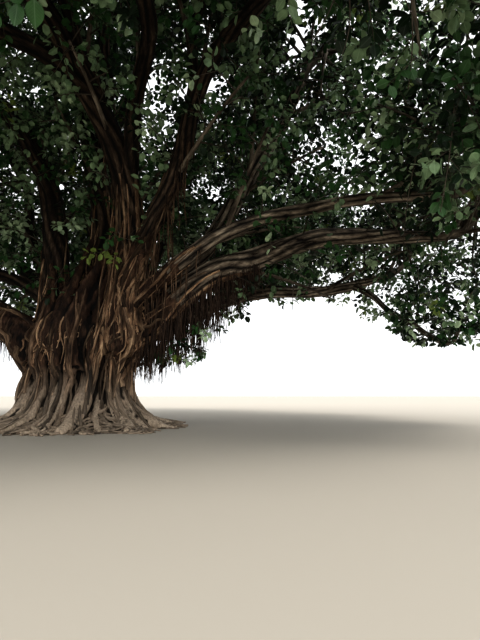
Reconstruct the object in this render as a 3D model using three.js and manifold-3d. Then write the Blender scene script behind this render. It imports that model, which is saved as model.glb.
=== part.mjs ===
// A spreading banyan tree: a short fluted trunk on a wide root flare, heavy boughs that leave it low down,
// aerial roots that hang from them, and a broad dome of foliage whose skirt droops low all round.
// Millimetres, +Z up. The origin is on the flat cut at ground level, in the middle of the trunk.
// Compass angles are in degrees, anticlockwise from +X: 0 is right, 90 back, 180 left and 270 front.
import * as THREE from "three";
import { mergeVertices } from "three/addons/utils/BufferGeometryUtils.js";
import Module from "manifold-3d";

const wasm = await Module();
wasm.setup();

// Driving dimensions
const clearance = 0.4; // left between pieces that carry one another
const flareRadius = 1950; // of the root flare at the ground
const waistRadius = 1010; // where the trunk is slimmest
const waistHeight = 850;
const headRadius = 1340; // of the trunk's head, which the boughs leave
const headHeight = 2400;
const leafLength = 1650; // a leaf stands for a spray of true ones, so it is much larger than life
const leafWidth = 1250;
const leafThickness = 46;
const leavesPerBranch = 4;
const leafTries = 8; // turns that a leaf is given to find a free place
const twigFinish = 6; // slivers finer than this where leaf meets twig are smoothed away
const rootRadius = 26; // of one hanging strand
const goldenAngle = Math.PI * (3 - Math.sqrt(5));
const up = new THREE.Vector3(0, 0, 1);

// The crown is built of rings of foliage masses. tip is where a bough enters its mass and middle the mass's own
// middle, both [reach, height]; across and tall are its half sizes.
const rings = {
  skirt: { tip: [6900, 3950], middle: [8200, 4700], across: 2750, tall: 2300 },
  front: { tip: [6300, 6000], middle: [8050, 5400], across: 2850, tall: 2300 },
  rear: { tip: [6700, 4900], middle: [8150, 6050], across: 2750, tall: 2000 },
  shoulder: { tip: [4000, 7600], middle: [5400, 8500], across: 2950, tall: 2300 },
  upper: { tip: [1600, 9300], middle: [2700, 10700], across: 2750, tall: 1900 },
  crest: { tip: [150, 10500], middle: [0, 11800], across: 2400, tall: 1500 },
  droop: { tip: [7350, 1650], middle: [7750, 2300], across: 1500, tall: 850 },
};

// Each limb leaves the trunk at a foot [compass, reach, height], or another limb at a share of its length.
// leave and arrive are [compass, climb] at its two ends, thick its radii there, and bow how far it holds each course.
const limbs = [
  { name: "right", on: "trunk", foot: [-15, 620, 1350], leave: [-5, 40], toward: -5, ring: "skirt",
    tip: [-5, 7500, 3780], arrive: [-8, 0], thick: [340, 95], bow: [0.58, 0.55] },
  { name: "right_low", on: "trunk", foot: [40, 600, 1400], leave: [17, 42], toward: 18, ring: "skirt",
    tip: [15, 7300, 3620], arrive: [10, 18], thick: [230, 90] },
  { name: "right_droop", on: "right_low", share: 0.86, leave: [-40, -30], toward: -3, ring: "droop",
    arrive: [-50, -30], thick: [75, 45] },
  { name: "right_front", on: "trunk", foot: [-28, 800, 2000], leave: [-27, 40], toward: -28, ring: "skirt",
    tip: [-23, 6980, 3700], arrive: [-60, -22], thick: [170, 80], bow: [0.45, 0.5] },
  { name: "right_rising", on: "trunk", foot: [5, 700, 1700], leave: [-1, 49], toward: 0, ring: "shoulder",
    tip: [0, 4700, 7700], arrive: [-12, 68], thick: [260, 110] },
  { name: "stem_front", on: "trunk", foot: [-33, 1050, 1400], leave: [50, 80], toward: 258, ring: "front",
    arrive: [250, -33], thick: [330, 100], bow: [0.56, 0.7] },
  { name: "front_left", on: "stem_front", share: 0.5, leave: [240, 5], toward: 228, ring: "front",
    arrive: [205, -30], thick: [170, 90], bow: [0.39, 0.5] },
  { name: "front_right", on: "stem_front", share: 0.32, leave: [-50, 70], toward: 286, ring: "front",
    arrive: [262, -30], thick: [170, 90], bow: [0.42, 0.5] },
  { name: "stem_right", on: "trunk", foot: [-27, 1000, 2000], leave: [-35, 73], toward: 310, ring: "front",
    arrive: [285, -30], thick: [210, 95], bow: [0.42, 0.55] },
  { name: "stem_left", on: "trunk", foot: [170, 450, 1200], leave: [159, 80], toward: 182, ring: "shoulder",
    arrive: [184, 0], thick: [330, 110], bow: [0.34, 0.5] },
  { name: "left", on: "trunk", foot: [200, 300, 1250], leave: [185, 38], toward: 192, ring: "skirt",
    arrive: [196, 0], thick: [390, 105], bow: [0.42, 0.38] },
  { name: "left_back", on: "stem_left", share: 0.15, leave: [155, 32], toward: 160, ring: "skirt",
    arrive: [160, 4], thick: [150, 85] },
  { name: "stem_back", on: "trunk", foot: [80, 480, 1700], leave: [70, 86], toward: 0, ring: "crest",
    arrive: [0, 84], thick: [330, 95] },
  { name: "back_left", on: "trunk", foot: [130, 650, 1500], leave: [130, 42], toward: 130, ring: "rear",
    arrive: [130, 10], thick: [290, 95] },
  { name: "back", on: "trunk", foot: [100, 680, 1650], leave: [100, 46], toward: 101, ring: "rear",
    arrive: [100, 10], thick: [260, 95] },
  { name: "back_right", on: "trunk", foot: [70, 680, 1450], leave: [72, 42], toward: 73, ring: "rear",
    arrive: [72, 10], thick: [280, 95] },
  { name: "back_right_low", on: "right_low", share: 0.16, leave: [58, 30], toward: 45, ring: "rear",
    arrive: [42, 10], thick: [140, 80] },
  { name: "shoulder_back_right", on: "back_right", share: 0.2, leave: [60, 62], toward: 52, ring: "shoulder",
    arrive: [55, 45], thick: [150, 85] },
  { name: "shoulder_back", on: "back", share: 0.18, leave: [112, 66], toward: 105, ring: "shoulder",
    arrive: [106, 45], thick: [150, 85] },
  { name: "shoulder_back_left", on: "back_left", share: 0.18, leave: [146, 64], toward: 146, ring: "shoulder",
    arrive: [146, 45], thick: [140, 80] },
  { name: "shoulder_front_left", on: "stem_left", share: 0.5, leave: [235, 50], toward: 226, ring: "shoulder",
    arrive: [226, 30], thick: [140, 80] },
  { name: "shoulder_front", on: "stem_front", share: 0.46, leave: [275, 60], toward: 272, ring: "shoulder",
    arrive: [272, 30], thick: [120, 75] },
  { name: "shoulder_right", on: "stem_right", share: 0.42, leave: [325, 66], toward: 316, ring: "shoulder",
    arrive: [320, 40], thick: [120, 75] },
  { name: "upper_right", on: "stem_back", share: 0.5, leave: [30, 50], toward: 30, ring: "upper",
    arrive: [30, 55], thick: [120, 70] },
  { name: "upper_back", on: "stem_back", share: 0.62, leave: [120, 50], toward: 120, ring: "upper",
    arrive: [120, 50], thick: [110, 70] },
  { name: "upper_left", on: "stem_back", share: 0.56, leave: [210, 50], toward: 210, ring: "upper",
    arrive: [210, 50], thick: [115, 70] },
  { name: "upper_front", on: "stem_back", share: 0.44, leave: [300, 50], toward: 300, ring: "upper",
    arrive: [300, 55], thick: [120, 70] },
];

// Bundles of aerial roots under a stretch of a limb, or round it between two compass angles. fall is how far they
// hang.
const rootBundles = [
  { name: "front", under: "stem_front", stretch: [0.255, 0.255], round: [205, 345], strands: 6, fall: 2500 },
  { name: "right", under: "right", stretch: [0.1, 0.42], strands: 8, fall: 1250 },
  { name: "left", under: "left", stretch: [0.3, 0.5], strands: 4, fall: 900 },
  { name: "back", under: "back_left", stretch: [0.22, 0.42], strands: 4, fall: 1100 },
];

// Vector and number helpers
const radians = THREE.MathUtils.degToRad;
const spot = (compass, reach, height) =>
  new THREE.Vector3(Math.cos(radians(compass)) * reach, Math.sin(radians(compass)) * reach, height);
const heading = (compass, climb) => spot(compass, Math.cos(radians(climb)), Math.sin(radians(climb)));

// A repeatable random sequence from 0 to 1 (mulberry32)
function seeded(seed) {
  let state = seed;
  return () => {
    state = (state + 0x6d2b79f5) | 0;
    let mixed = Math.imul(state ^ (state >>> 15), 1 | state);
    mixed = (mixed + Math.imul(mixed ^ (mixed >>> 7), 61 | mixed)) ^ mixed;
    return ((mixed ^ (mixed >>> 14)) >>> 0) / 4294967296;
  };
}

// A closed three.js geometry as a solid that can be cut and joined
function asSolid(geometry) {
  geometry.deleteAttribute("normal");
  geometry.deleteAttribute("uv");
  const merged = mergeVertices(geometry, 1e-3);
  return new wasm.Manifold(
    new wasm.Mesh({
      numProp: 3,
      vertProperties: merged.getAttribute("position").array,
      triVerts: new Uint32Array(merged.index.array),
    }),
  );
}

// A solid's largest body with any sealed hollow filled and loose scraps dropped
function largestBody(solid) {
  return solid.decompose().reduce((best, body) => (body.volume() > best.volume() ? body : best));
}

function asGeometry(solid) {
  const mesh = solid.getMesh();
  const geometry = new THREE.BufferGeometry();
  geometry.setAttribute("position", new THREE.BufferAttribute(mesh.vertProperties, 3));
  geometry.setIndex(new THREE.BufferAttribute(mesh.triVerts, 1));
  geometry.computeVertexNormals();
  return geometry;
}

// A limb's centreline: a cubic curve between its ends, with a slow sway that fades out at both
class LimbCurve extends THREE.CubicBezierCurve3 {
  constructor(from, leave, to, arrive, bow, phase) {
    const chord = from.distanceTo(to);
    super(
      from,
      from.clone().addScaledVector(leave, chord * bow[0]),
      to.clone().addScaledVector(arrive, -chord * bow[1]),
      to,
    );
    this.sway = 0.02 * chord;
    this.phase = phase;
    this.across = new THREE.Vector3().crossVectors(to.clone().sub(from), up).normalize();
  }
  getPoint(t, target = new THREE.Vector3()) {
    super.getPoint(t, target);
    const fade = Math.sin(Math.PI * t) * this.sway;
    target.addScaledVector(this.across, fade * Math.sin(11 * t + this.phase));
    target.z += fade * 0.7 * Math.sin(9 * t + 2 * this.phase);
    return target;
  }
}

// A tube round a curve, whose radius follows its length: a CylinderGeometry bent along the curve
function bentTube(curve, radiusAt, sides, steps) {
  const geometry = new THREE.CylinderGeometry(1, 1, 1, sides, steps);
  const frames = curve.computeFrenetFrames(steps);
  const place = geometry.getAttribute("position");
  for (let i = 0; i < place.count; i++) {
    const step = Math.round((place.getY(i) + 0.5) * steps);
    const share = step / steps;
    const radius = radiusAt(share);
    const at = curve.getPointAt(share);
    at.addScaledVector(frames.normals[step], place.getX(i) * radius);
    at.addScaledVector(frames.binormals[step], -place.getZ(i) * radius);
    place.setXYZ(i, at.x, at.y, at.z);
  }
  return geometry;
}

// Trunk: a round profile, fluted by roots that spread into the flare
const trunkOutline = new THREE.SplineCurve([
  new THREE.Vector2(flareRadius, 0),
  new THREE.Vector2(flareRadius * 0.78, waistHeight * 0.22),
  new THREE.Vector2(waistRadius * 1.16, waistHeight * 0.58),
  new THREE.Vector2(waistRadius, waistHeight),
  new THREE.Vector2(headRadius * 0.95, headHeight * 0.6),
  new THREE.Vector2(headRadius, headHeight * 0.78),
  new THREE.Vector2(headRadius * 0.72, headHeight * 0.95),
  new THREE.Vector2(headRadius * 0.25, headHeight),
]);

function fluteAt(compass, height) {
  const depth = 0.045 + 0.13 * Math.exp(-height / (waistHeight * 0.55));
  const roots = 0.65 * Math.cos(9 * compass + 0.6) + 0.35 * Math.cos(5 * compass + 4);
  return 1 + depth * roots;
}

function trunkGeometry(grown = 0) {
  const sides = 44;
  const steps = 10;
  const geometry = new THREE.CylinderGeometry(1, 1, 1, sides, steps);
  const place = geometry.getAttribute("position");
  for (let i = 0; i < place.count; i++) {
    const share = place.getY(i) + 0.5;
    const outline = trunkOutline.getPoint(share);
    const rise = trunkOutline.getTangent(share);
    const compass = Math.atan2(-place.getZ(i), place.getX(i));
    const onRim = Math.hypot(place.getX(i), place.getZ(i));
    const radius = onRim * (outline.x * fluteAt(compass, outline.y) + grown * Math.max(rise.y, 0.7));
    const height = share === 0 ? 0 : outline.y - grown * rise.x;
    place.setXYZ(i, radius * Math.cos(compass), radius * Math.sin(compass), height);
  }
  return geometry;
}

// Limbs: where each runs, and how thick it is along the way
const runs = new Map();

function planLimb(limb, index) {
  const ring = rings[limb.ring];
  const carrier = runs.get(limb.on);
  const from = carrier ? carrier.curve.getPointAt(limb.share) : spot(...limb.foot);
  const to = limb.tip ? spot(...limb.tip) : spot(limb.toward, ...ring.tip);
  const bow = limb.bow ?? [0.38, 0.38];
  const curve = new LimbCurve(from, heading(...limb.leave), to, heading(...limb.arrive), bow, index * 1.7);
  const [foot, tip] = limb.thick;
  const swell = carrier ? 0.25 : 0.35; // the collar where it leaves its carrier
  const radiusAt = (share) =>
    (tip + (foot - tip) * (1 - share) ** 0.85) * (1 + swell * Math.exp(-share * 22));
  runs.set(limb.name, { limb, ring, curve, radiusAt });
}
limbs.forEach(planLimb);

function limbGeometry(run, grown = 0) {
  const heavy = run.limb.thick[0] > 200;
  return bentTube(run.curve, (share) => run.radiusAt(share) + grown, heavy ? 7 : 5, heavy ? 8 : 6);
}

// Every piece is cut clear of the wood placed before it, so that it stands face to face with what carries it
const placed = [];
const tree = new THREE.Group();

function addMesh(name, solid, material) {
  const mesh = new THREE.Mesh(asGeometry(solid), material);
  mesh.name = name;
  tree.add(mesh);
}

function placeWood(name, solid, grown, material) {
  const clear = placed.reduce((rest, other) => rest.subtract(other), solid);
  placed.push(grown);
  addMesh(name, largestBody(clear), material);
}

const bark = new THREE.MeshStandardMaterial({ color: 0x7a6651, roughness: 0.9, metalness: 0 });
const rootBark = new THREE.MeshStandardMaterial({ color: 0x8a6b4c, roughness: 0.85, metalness: 0 });
const leafGreen = new THREE.MeshStandardMaterial({ color: 0x4d6a3c, roughness: 0.6, metalness: 0 });

placeWood("trunk", asSolid(trunkGeometry()), asSolid(trunkGeometry(clearance)), bark);
for (const run of runs.values()) {
  const name = run.limb.name.startsWith("stem") ? run.limb.name : "bough_" + run.limb.name;
  placeWood(name, asSolid(limbGeometry(run)), asSolid(limbGeometry(run, clearance)), bark);
}

// A hanging strand: a wavering tube that thins downwards
function strandSolid(top, fall, radius, phase, grown) {
  const points = [0, 0.5, 1].map((share) => {
    const sway = 0.05 * fall * share;
    const drift = new THREE.Vector3(Math.sin(phase + 7 * share), Math.cos(1.3 * phase + 6 * share), 0);
    return top.clone().addScaledVector(drift, sway).addScaledVector(up, -fall * share);
  });
  const curve = new THREE.CatmullRomCurve3(points);
  return asSolid(bentTube(curve, (share) => radius * (1 - 0.5 * share) + grown, 4, 2));
}

// Strands that share a rootstock hugging the underside of their limb
function bundleSolid(bundle, grown = 0) {
  const run = runs.get(bundle.under);
  const [from, to] = bundle.stretch;
  const random = seeded(bundle.strands * 97 + bundle.fall);
  const stock = [0, 1, 2, 3].map((k) => {
    const share = from + ((to - from) * k) / 3;
    const off = run.radiusAt(share) * 0.95;
    const round = bundle.round && spot(THREE.MathUtils.lerp(...bundle.round, k / 3), off + rootRadius, 0);
    return run.curve.getPointAt(share).add(round ?? new THREE.Vector3(0, 0, -off));
  });
  const stockCurve = new THREE.CatmullRomCurve3(stock);
  let solid = asSolid(bentTube(stockCurve, () => rootRadius * 3.2 + grown, 5, 4));
  for (let k = 0; k < bundle.strands; k++) {
    const top = stockCurve.getPointAt((k + 0.5) / bundle.strands);
    top.y += (random() - 0.5) * rootRadius * 3;
    const fall = bundle.fall * (0.65 + 0.35 * random());
    solid = solid.add(strandSolid(top, fall, rootRadius * (0.9 + 0.7 * random()), 7 * random(), grown));
  }
  return solid;
}
for (const bundle of rootBundles)
  placeWood("hanging_roots_" + bundle.name, bundleSolid(bundle), bundleSolid(bundle, clearance), rootBark);

// Foliage: each mass keeps to an ellipsoid at the end of its limb, and to the part of it that is nearer to its own
// middle than to any other mass's
const masses = [...runs.values()].map((run) => ({
  run,
  middle: spot(run.limb.toward, ...run.ring.middle),
  across: run.ring.across,
  tall: run.ring.tall,
}));

function depthIn(mass, point) {
  const flat = Math.hypot(point.x - mass.middle.x, point.y - mass.middle.y) / mass.across;
  return Math.hypot(flat, (point.z - mass.middle.z) / mass.tall);
}

function owns(mass, point) {
  const own = depthIn(mass, point);
  return own < 1 && masses.every((other) => other === mass || depthIn(other, point) > own + 0.02);
}

const allWood = placed.reduce((whole, solid) => whole.add(solid));
const touchesWood = (solid) => !solid.intersect(allWood).isEmpty();

// A leaf: an octahedron drawn out to a point at each end and widest nearer its base
function leafSolid(base, along, roll, size) {
  const geometry = new THREE.OctahedronGeometry(1);
  const side = new THREE.Vector3().crossVectors(along, up).normalize().applyAxisAngle(along, roll);
  const face = new THREE.Vector3().crossVectors(along, side);
  const place = geometry.getAttribute("position");
  for (let i = 0; i < place.count; i++) {
    const share = Math.abs(place.getX(i)) > 0.5 ? (place.getX(i) + 1) / 2 : 0.42;
    const at = base.clone().addScaledVector(along, share * leafLength * size);
    at.addScaledVector(side, (place.getY(i) * leafWidth * size) / 2);
    at.addScaledVector(face, (place.getZ(i) * leafThickness) / 2);
    place.setXYZ(i, at.x, at.y, at.z);
  }
  const corners = Array.from({ length: place.count }, (_, i) => new THREE.Vector3().fromBufferAttribute(place, i));
  return { solid: asSolid(geometry), corners };
}

// A branch's leaves stand alternately round it and one ends it. A leaf that would leave its mass, or touch wood or
// what the mass already has, is turned, and at last left out.
function leavesOn(mass, grownSoFar, branch, random, start) {
  const kept = [];
  const touches = (leaf) =>
    touchesWood(leaf) || [grownSoFar, ...kept].some((other) => !other.intersect(leaf).isEmpty());
  for (let k = 0; k < leavesPerBranch; k++) {
    const last = k === leavesPerBranch - 1;
    const share = last ? 0.97 : 0.35 + (0.6 * k) / (leavesPerBranch - 1);
    const base = branch.getPointAt(share);
    const course = branch.getTangentAt(share);
    const outward = base.clone().sub(mass.middle).normalize();
    for (let turn = 0; turn < leafTries; turn++) {
      const side = new THREE.Vector3().crossVectors(course, up).normalize();
      side.applyAxisAngle(course, (start + k) * goldenAngle + turn * 1.3);
      const along = side.multiplyScalar(last ? 0.25 : 1).add(outward).addScaledVector(course, 0.4);
      const size = (0.85 + 0.3 * random()) * (1 - 0.05 * turn);
      const leaf = leafSolid(base, along.normalize(), (start + k) * 2.1 + turn, size);
      const within = leaf.corners.every((corner) => corner.distanceTo(base) < 1 || owns(mass, corner));
      if (!within || touches(leaf.solid)) continue;
      kept.push(leaf.solid);
      break;
    }
  }
  return kept;
}

// A mass: one stem going on from the limb's tip, branches that fan out from it, and their leaves
function growMass(mass, index) {
  const random = seeded(4001 + index * 37);
  const { run } = mass;
  const course = run.curve.getTangentAt(1);
  const from = run.curve.getPointAt(1).addScaledVector(course, clearance);
  const hold = from.clone().addScaledVector(course, from.distanceTo(mass.middle) * 0.5);
  const stem = new THREE.QuadraticBezierCurve3(from, hold, mass.middle);
  const thick = run.limb.thick[1] * 0.8;
  let solid = asSolid(bentTube(stem, (share) => thick * (1 - 0.6 * share), 5, 3));
  const branches = mass.across > 2000 ? 5 : 3;
  for (let k = 0; k < branches; k++) {
    const rise = 1 - (2 * (k + 0.5)) / branches;
    const turn = k * goldenAngle + index * 1.1;
    const level = Math.sqrt(1 - rise * rise);
    const aim = new THREE.Vector3(
      Math.cos(turn) * level * mass.across,
      Math.sin(turn) * level * mass.across,
      rise * mass.tall,
    );
    const reach = [0.5, 0.42, 0.34, 0.26].find((part) => owns(mass, mass.middle.clone().addScaledVector(aim, part)));
    if (reach === undefined) continue;
    const start = stem.getPointAt(0.35 + (0.6 * k) / branches);
    const end = mass.middle.clone().addScaledVector(aim, reach);
    const bend = start.clone().lerp(end, 0.5);
    bend.z += start.distanceTo(end) * 0.14;
    const branch = new THREE.QuadraticBezierCurve3(start, bend, end);
    const tube = asSolid(bentTube(branch, (share) => thick * (0.42 - 0.26 * share), 3, 2));
    if (touchesWood(tube)) continue;
    const leaves = leavesOn(mass, solid, branch, random, k * leavesPerBranch + index);
    solid = leaves.reduce((whole, leaf) => whole.add(leaf), solid.add(tube));
  }
  return largestBody(largestBody(solid).asOriginal().simplify(twigFinish));
}
masses.forEach((mass, index) => addMesh("leaves_" + mass.run.limb.name, growMass(mass, index), leafGreen));

tree.name = "banyan_tree";
export default tree;
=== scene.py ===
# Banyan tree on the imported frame: fluted bark, aerial roots, twigs and leaves, all grown from the limbs.
# Metres, +Z up, origin on the flat cut under the trunk. Compass angles are in degrees, anticlockwise from +X.
import math

import bpy
import numpy as np
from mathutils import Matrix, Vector
from mathutils.bvhtree import BVHTree


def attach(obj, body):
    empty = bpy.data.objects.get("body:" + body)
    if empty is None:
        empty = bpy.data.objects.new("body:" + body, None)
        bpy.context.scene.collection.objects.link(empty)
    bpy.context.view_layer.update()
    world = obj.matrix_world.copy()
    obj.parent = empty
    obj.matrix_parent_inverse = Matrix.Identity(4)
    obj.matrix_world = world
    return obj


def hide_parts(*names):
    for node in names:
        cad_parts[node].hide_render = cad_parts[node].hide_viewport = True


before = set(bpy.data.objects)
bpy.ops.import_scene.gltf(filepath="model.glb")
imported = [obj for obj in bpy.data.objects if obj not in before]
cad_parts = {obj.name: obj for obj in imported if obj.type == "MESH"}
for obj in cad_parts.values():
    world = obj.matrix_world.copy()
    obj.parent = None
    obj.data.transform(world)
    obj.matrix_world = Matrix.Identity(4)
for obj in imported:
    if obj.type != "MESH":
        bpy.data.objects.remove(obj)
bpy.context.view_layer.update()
scene = bpy.context.scene
goldenAngle = math.pi * (3 - math.sqrt(5))
fullTurn = 2 * math.pi
upward = np.array([0.0, 0.0, 1.0])
level = np.array([1.0, 1.0, 0.0])  # times a vector gives its level part
phases = (0, 6.28)  # what a random phase is drawn from

# view, floor and light
viewLook = {
    "place": (3.3, -9.7, 0.65),
    "climb": 8.95,  # degrees that the lens points above the horizon
    "lens": 26.44,
    "exposure": 0.23,
    "contrast": "Medium High Contrast",
    "picture": (480, 640),
    "focal": 470,  # pixels from the lens to a picture of that size
    "nearest": 0.05,  # metres along the lens
    "sky": (0.96, 0.98, 1.0),
    "skyStrength": 1.15,
    "floor": (0.44, 0.4, 0.34),
    "floorReach": 150.0,
    # name, strength and turn: one high up, one low enough to reach the trunk, and a weak one from the left
    "suns": [
        ("highSun", 1.45, (38, 12, 35)),
        ("lowSun", 0.66, (82, 0, 20)),
        ("leftSun", 0.55, (64, 0, -52)),
    ],
    "sunWidth": 25,  # degrees, for soft shadows
    "sunColour": (1.0, 0.96, 0.9),
}


def makeMaterial(name):
    # a new material, its nodes' tree and its shader
    material = bpy.data.materials.new(name)
    material.use_nodes = True
    return material, material.node_tree, material.node_tree.nodes["Principled BSDF"]


def makeView(look):
    # the camera, a plain pale world, the suns and a pale floor
    camera = bpy.data.objects.new("camera", bpy.data.cameras.new("camera"))
    camera.location = look["place"]
    camera.rotation_euler = (math.radians(90 + look["climb"]), 0, 0)
    camera.data.lens = look["lens"]
    camera.data.clip_end = 400
    scene.collection.objects.link(camera)
    scene.camera = camera
    scene.view_settings.view_transform = "Standard"
    scene.view_settings.look = look["contrast"]
    scene.view_settings.exposure = look["exposure"]

    world = bpy.data.worlds.new("paleSky")
    world.use_nodes = True
    background = world.node_tree.nodes["Background"]
    background.inputs["Color"].default_value = (*look["sky"], 1)
    background.inputs["Strength"].default_value = look["skyStrength"]
    scene.world = world

    for name, power, turn in look["suns"]:
        sun = bpy.data.objects.new(name, bpy.data.lights.new(name, "SUN"))
        sun.data.energy = power
        sun.data.angle = math.radians(look["sunWidth"])
        sun.data.color = look["sunColour"]
        sun.rotation_euler = [math.radians(angle) for angle in turn]
        scene.collection.objects.link(sun)

    side = look["floorReach"]
    corners = [(-side, -side, 0), (side, -side, 0), (side, side, 0), (-side, side, 0)]
    mesh = bpy.data.meshes.new("floor")
    mesh.from_pydata(corners, [], [(0, 1, 2, 3)])
    floor = bpy.data.objects.new("floor", mesh)
    scene.collection.objects.link(floor)
    material, _, shader = makeMaterial("paleFloor")
    shader.inputs["Base Color"].default_value = (*look["floor"], 1)
    shader.inputs["Roughness"].default_value = 0.95
    mesh.materials.append(material)


makeView(viewLook)
print("view, light and floor are set")


# arrays into meshes
def unit(vectors):
    # each vector over its length
    return vectors / np.maximum(np.linalg.norm(vectors, axis=-1, keepdims=True), 1e-9)


def makePiece(name, points, faceSets, attributes=None, smooth=True):
    # one mesh object from an array of points and arrays of faces that may differ in their number of corners
    mesh = bpy.data.meshes.new(name)
    mesh.vertices.add(len(points))
    mesh.vertices.foreach_set("co", np.ascontiguousarray(points, np.float32).ravel())
    loops = np.concatenate([faces.ravel() for faces in faceSets]).astype(np.int32)
    sizes = np.concatenate([np.full(len(faces), faces.shape[1]) for faces in faceSets])
    mesh.loops.add(len(loops))
    mesh.loops.foreach_set("vertex_index", loops)
    mesh.polygons.add(len(sizes))
    mesh.polygons.foreach_set("loop_start", np.concatenate([[0], np.cumsum(sizes)[:-1]]).astype(np.int32))
    mesh.update(calc_edges=True)
    mesh.polygons.foreach_set("use_smooth", np.full(len(sizes), smooth))
    for key, values in (attributes or {}).items():
        kind, part = ("FLOAT", "value") if values.ndim == 1 else ("FLOAT_VECTOR", "vector")
        field = mesh.attributes.new(key, kind, "POINT")
        field.data.foreach_set(part, values.astype(np.float32).ravel())
    piece = bpy.data.objects.new(name, mesh)
    scene.collection.objects.link(piece)
    return piece


def finishPiece(piece, material, nodes=()):
    # its material, the body it rides on, and the nodes of the solids that it takes the place of
    piece.data.materials.clear()
    piece.data.materials.append(material)
    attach(piece, "root")
    if nodes:
        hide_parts(*nodes)


def steadyFrames(paths):
    # for each path a side and a top direction square to its course, from a fixed vector square to its chord
    course = unit(np.gradient(paths, axis=1))
    chord = unit(paths[:, -1] - paths[:, 0])
    flat = np.cross(chord, upward)
    flat = np.where(np.linalg.norm(flat, axis=1, keepdims=True) < 0.25, [[1.0, 0.0, 0.0]], flat)
    side = unit(flat[:, None] - (flat[:, None] * course).sum(-1, keepdims=True) * course)
    return side, np.cross(course, side)


def ringAngles(sides):
    # even angles round a full turn
    return np.arange(sides) * fullTurn / sides


def around(side, top, angle):
    # the direction at an angle round a course: cos a * side + sin a * top
    angle = angle[..., None]
    return np.cos(angle) * side + np.sin(angle) * top


def polar(compass, reach, height):
    # points (reach * cos, reach * sin, height) for arrays of compass angles in radians
    return np.stack([reach * np.cos(compass), reach * np.sin(compass), height], -1)


def ringWalls(index):
    # four-sided faces between one ring of points and the next, the rings being the last axis but one
    ahead = np.roll(index, -1, axis=-1)
    below, above = index[..., :-1, :], index[..., 1:, :]
    return np.stack([below, ahead[..., :-1, :], ahead[..., 1:, :], above], -1).reshape(-1, 4)


def ringFaces(steps, sides):
    # the walls of one tube, and a flat face at each end
    index = np.arange(steps * sides).reshape(steps, sides)
    return [ringWalls(index), index[:1, ::-1], index[-1:]]


def tubeArrays(paths, radii, sides):
    # rings round each path: centre + radius * (cos a * side + sin a * top), both ends closed by a flat face
    count, steps = paths.shape[:2]
    side, top = steadyFrames(paths)
    offset = around(side[:, :, None], top[:, :, None], ringAngles(sides))
    points = paths[:, :, None] + radii[..., None, None] * offset
    index = np.arange(count * steps * sides).reshape(count, steps, sides)
    caps = np.concatenate([index[:, 0, ::-1], index[:, -1]])
    return points.reshape(-1, 3), [ringWalls(index), caps]


def joined(parts):
    # several (points, faceSets) as one
    points, sets, start = [], [], 0
    for some, faceSets in parts:
        points.append(some)
        sets += [faces + start for faces in faceSets]
        start += len(some)
    return np.concatenate(points), sets


def ripple(points, size, seed, waves=9):
    # a sum of sine waves in seeded directions, each about as long as size, and about one high in all
    rng = np.random.default_rng(seed)
    ways = unit(rng.normal(size=(waves, 3))) * fullTurn / size * rng.uniform(0.6, 1.5, (waves, 1))
    return np.sin(points @ ways.T + rng.uniform(0, 6.28, waves)).sum(-1) / math.sqrt(waves)


def bow(controls, t):
    # quadratic curve through the first control and the last, drawn towards the middle one
    a, b, c = controls
    return (1 - t) ** 2 * a + 2 * (1 - t) * t * b + t**2 * c


def uneven(depth, waves, number, rng):
    # 1 + depth * a sine of the waves, with its own phase for each of so many roots
    return 1 + depth * np.sin(waves + rng.uniform(0, 6, (number, 1)))


def swell(t, pace):
    # rises from 0 to 1 on a quarter of a sine, at the given pace, and stays there
    return np.sin(math.pi * np.clip(t * pace, 0, 0.5))


# limbs by the same rule as the solids': tip and middle are the reach and height of a bough's end and its mass
rings = {
    "skirt": {"tip": (6.9, 3.95), "middle": (8.2, 4.7), "across": 2.75, "tall": 2.3},
    "front": {"tip": (6.3, 6.0), "middle": (8.05, 5.4), "across": 2.85, "tall": 2.3},
    "rear": {"tip": (6.7, 4.9), "middle": (8.15, 6.05), "across": 2.75, "tall": 2.0},
    "shoulder": {"tip": (4.0, 7.6), "middle": (5.4, 8.5), "across": 2.95, "tall": 2.3},
    "upper": {"tip": (1.6, 9.3), "middle": (2.7, 10.7), "across": 2.75, "tall": 1.9},
    "crest": {"tip": (0.15, 10.5), "middle": (0.0, 11.8), "across": 2.4, "tall": 1.5},
    "droop": {"tip": (7.35, 1.65), "middle": (7.75, 2.3), "across": 1.5, "tall": 0.85},
}
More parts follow.
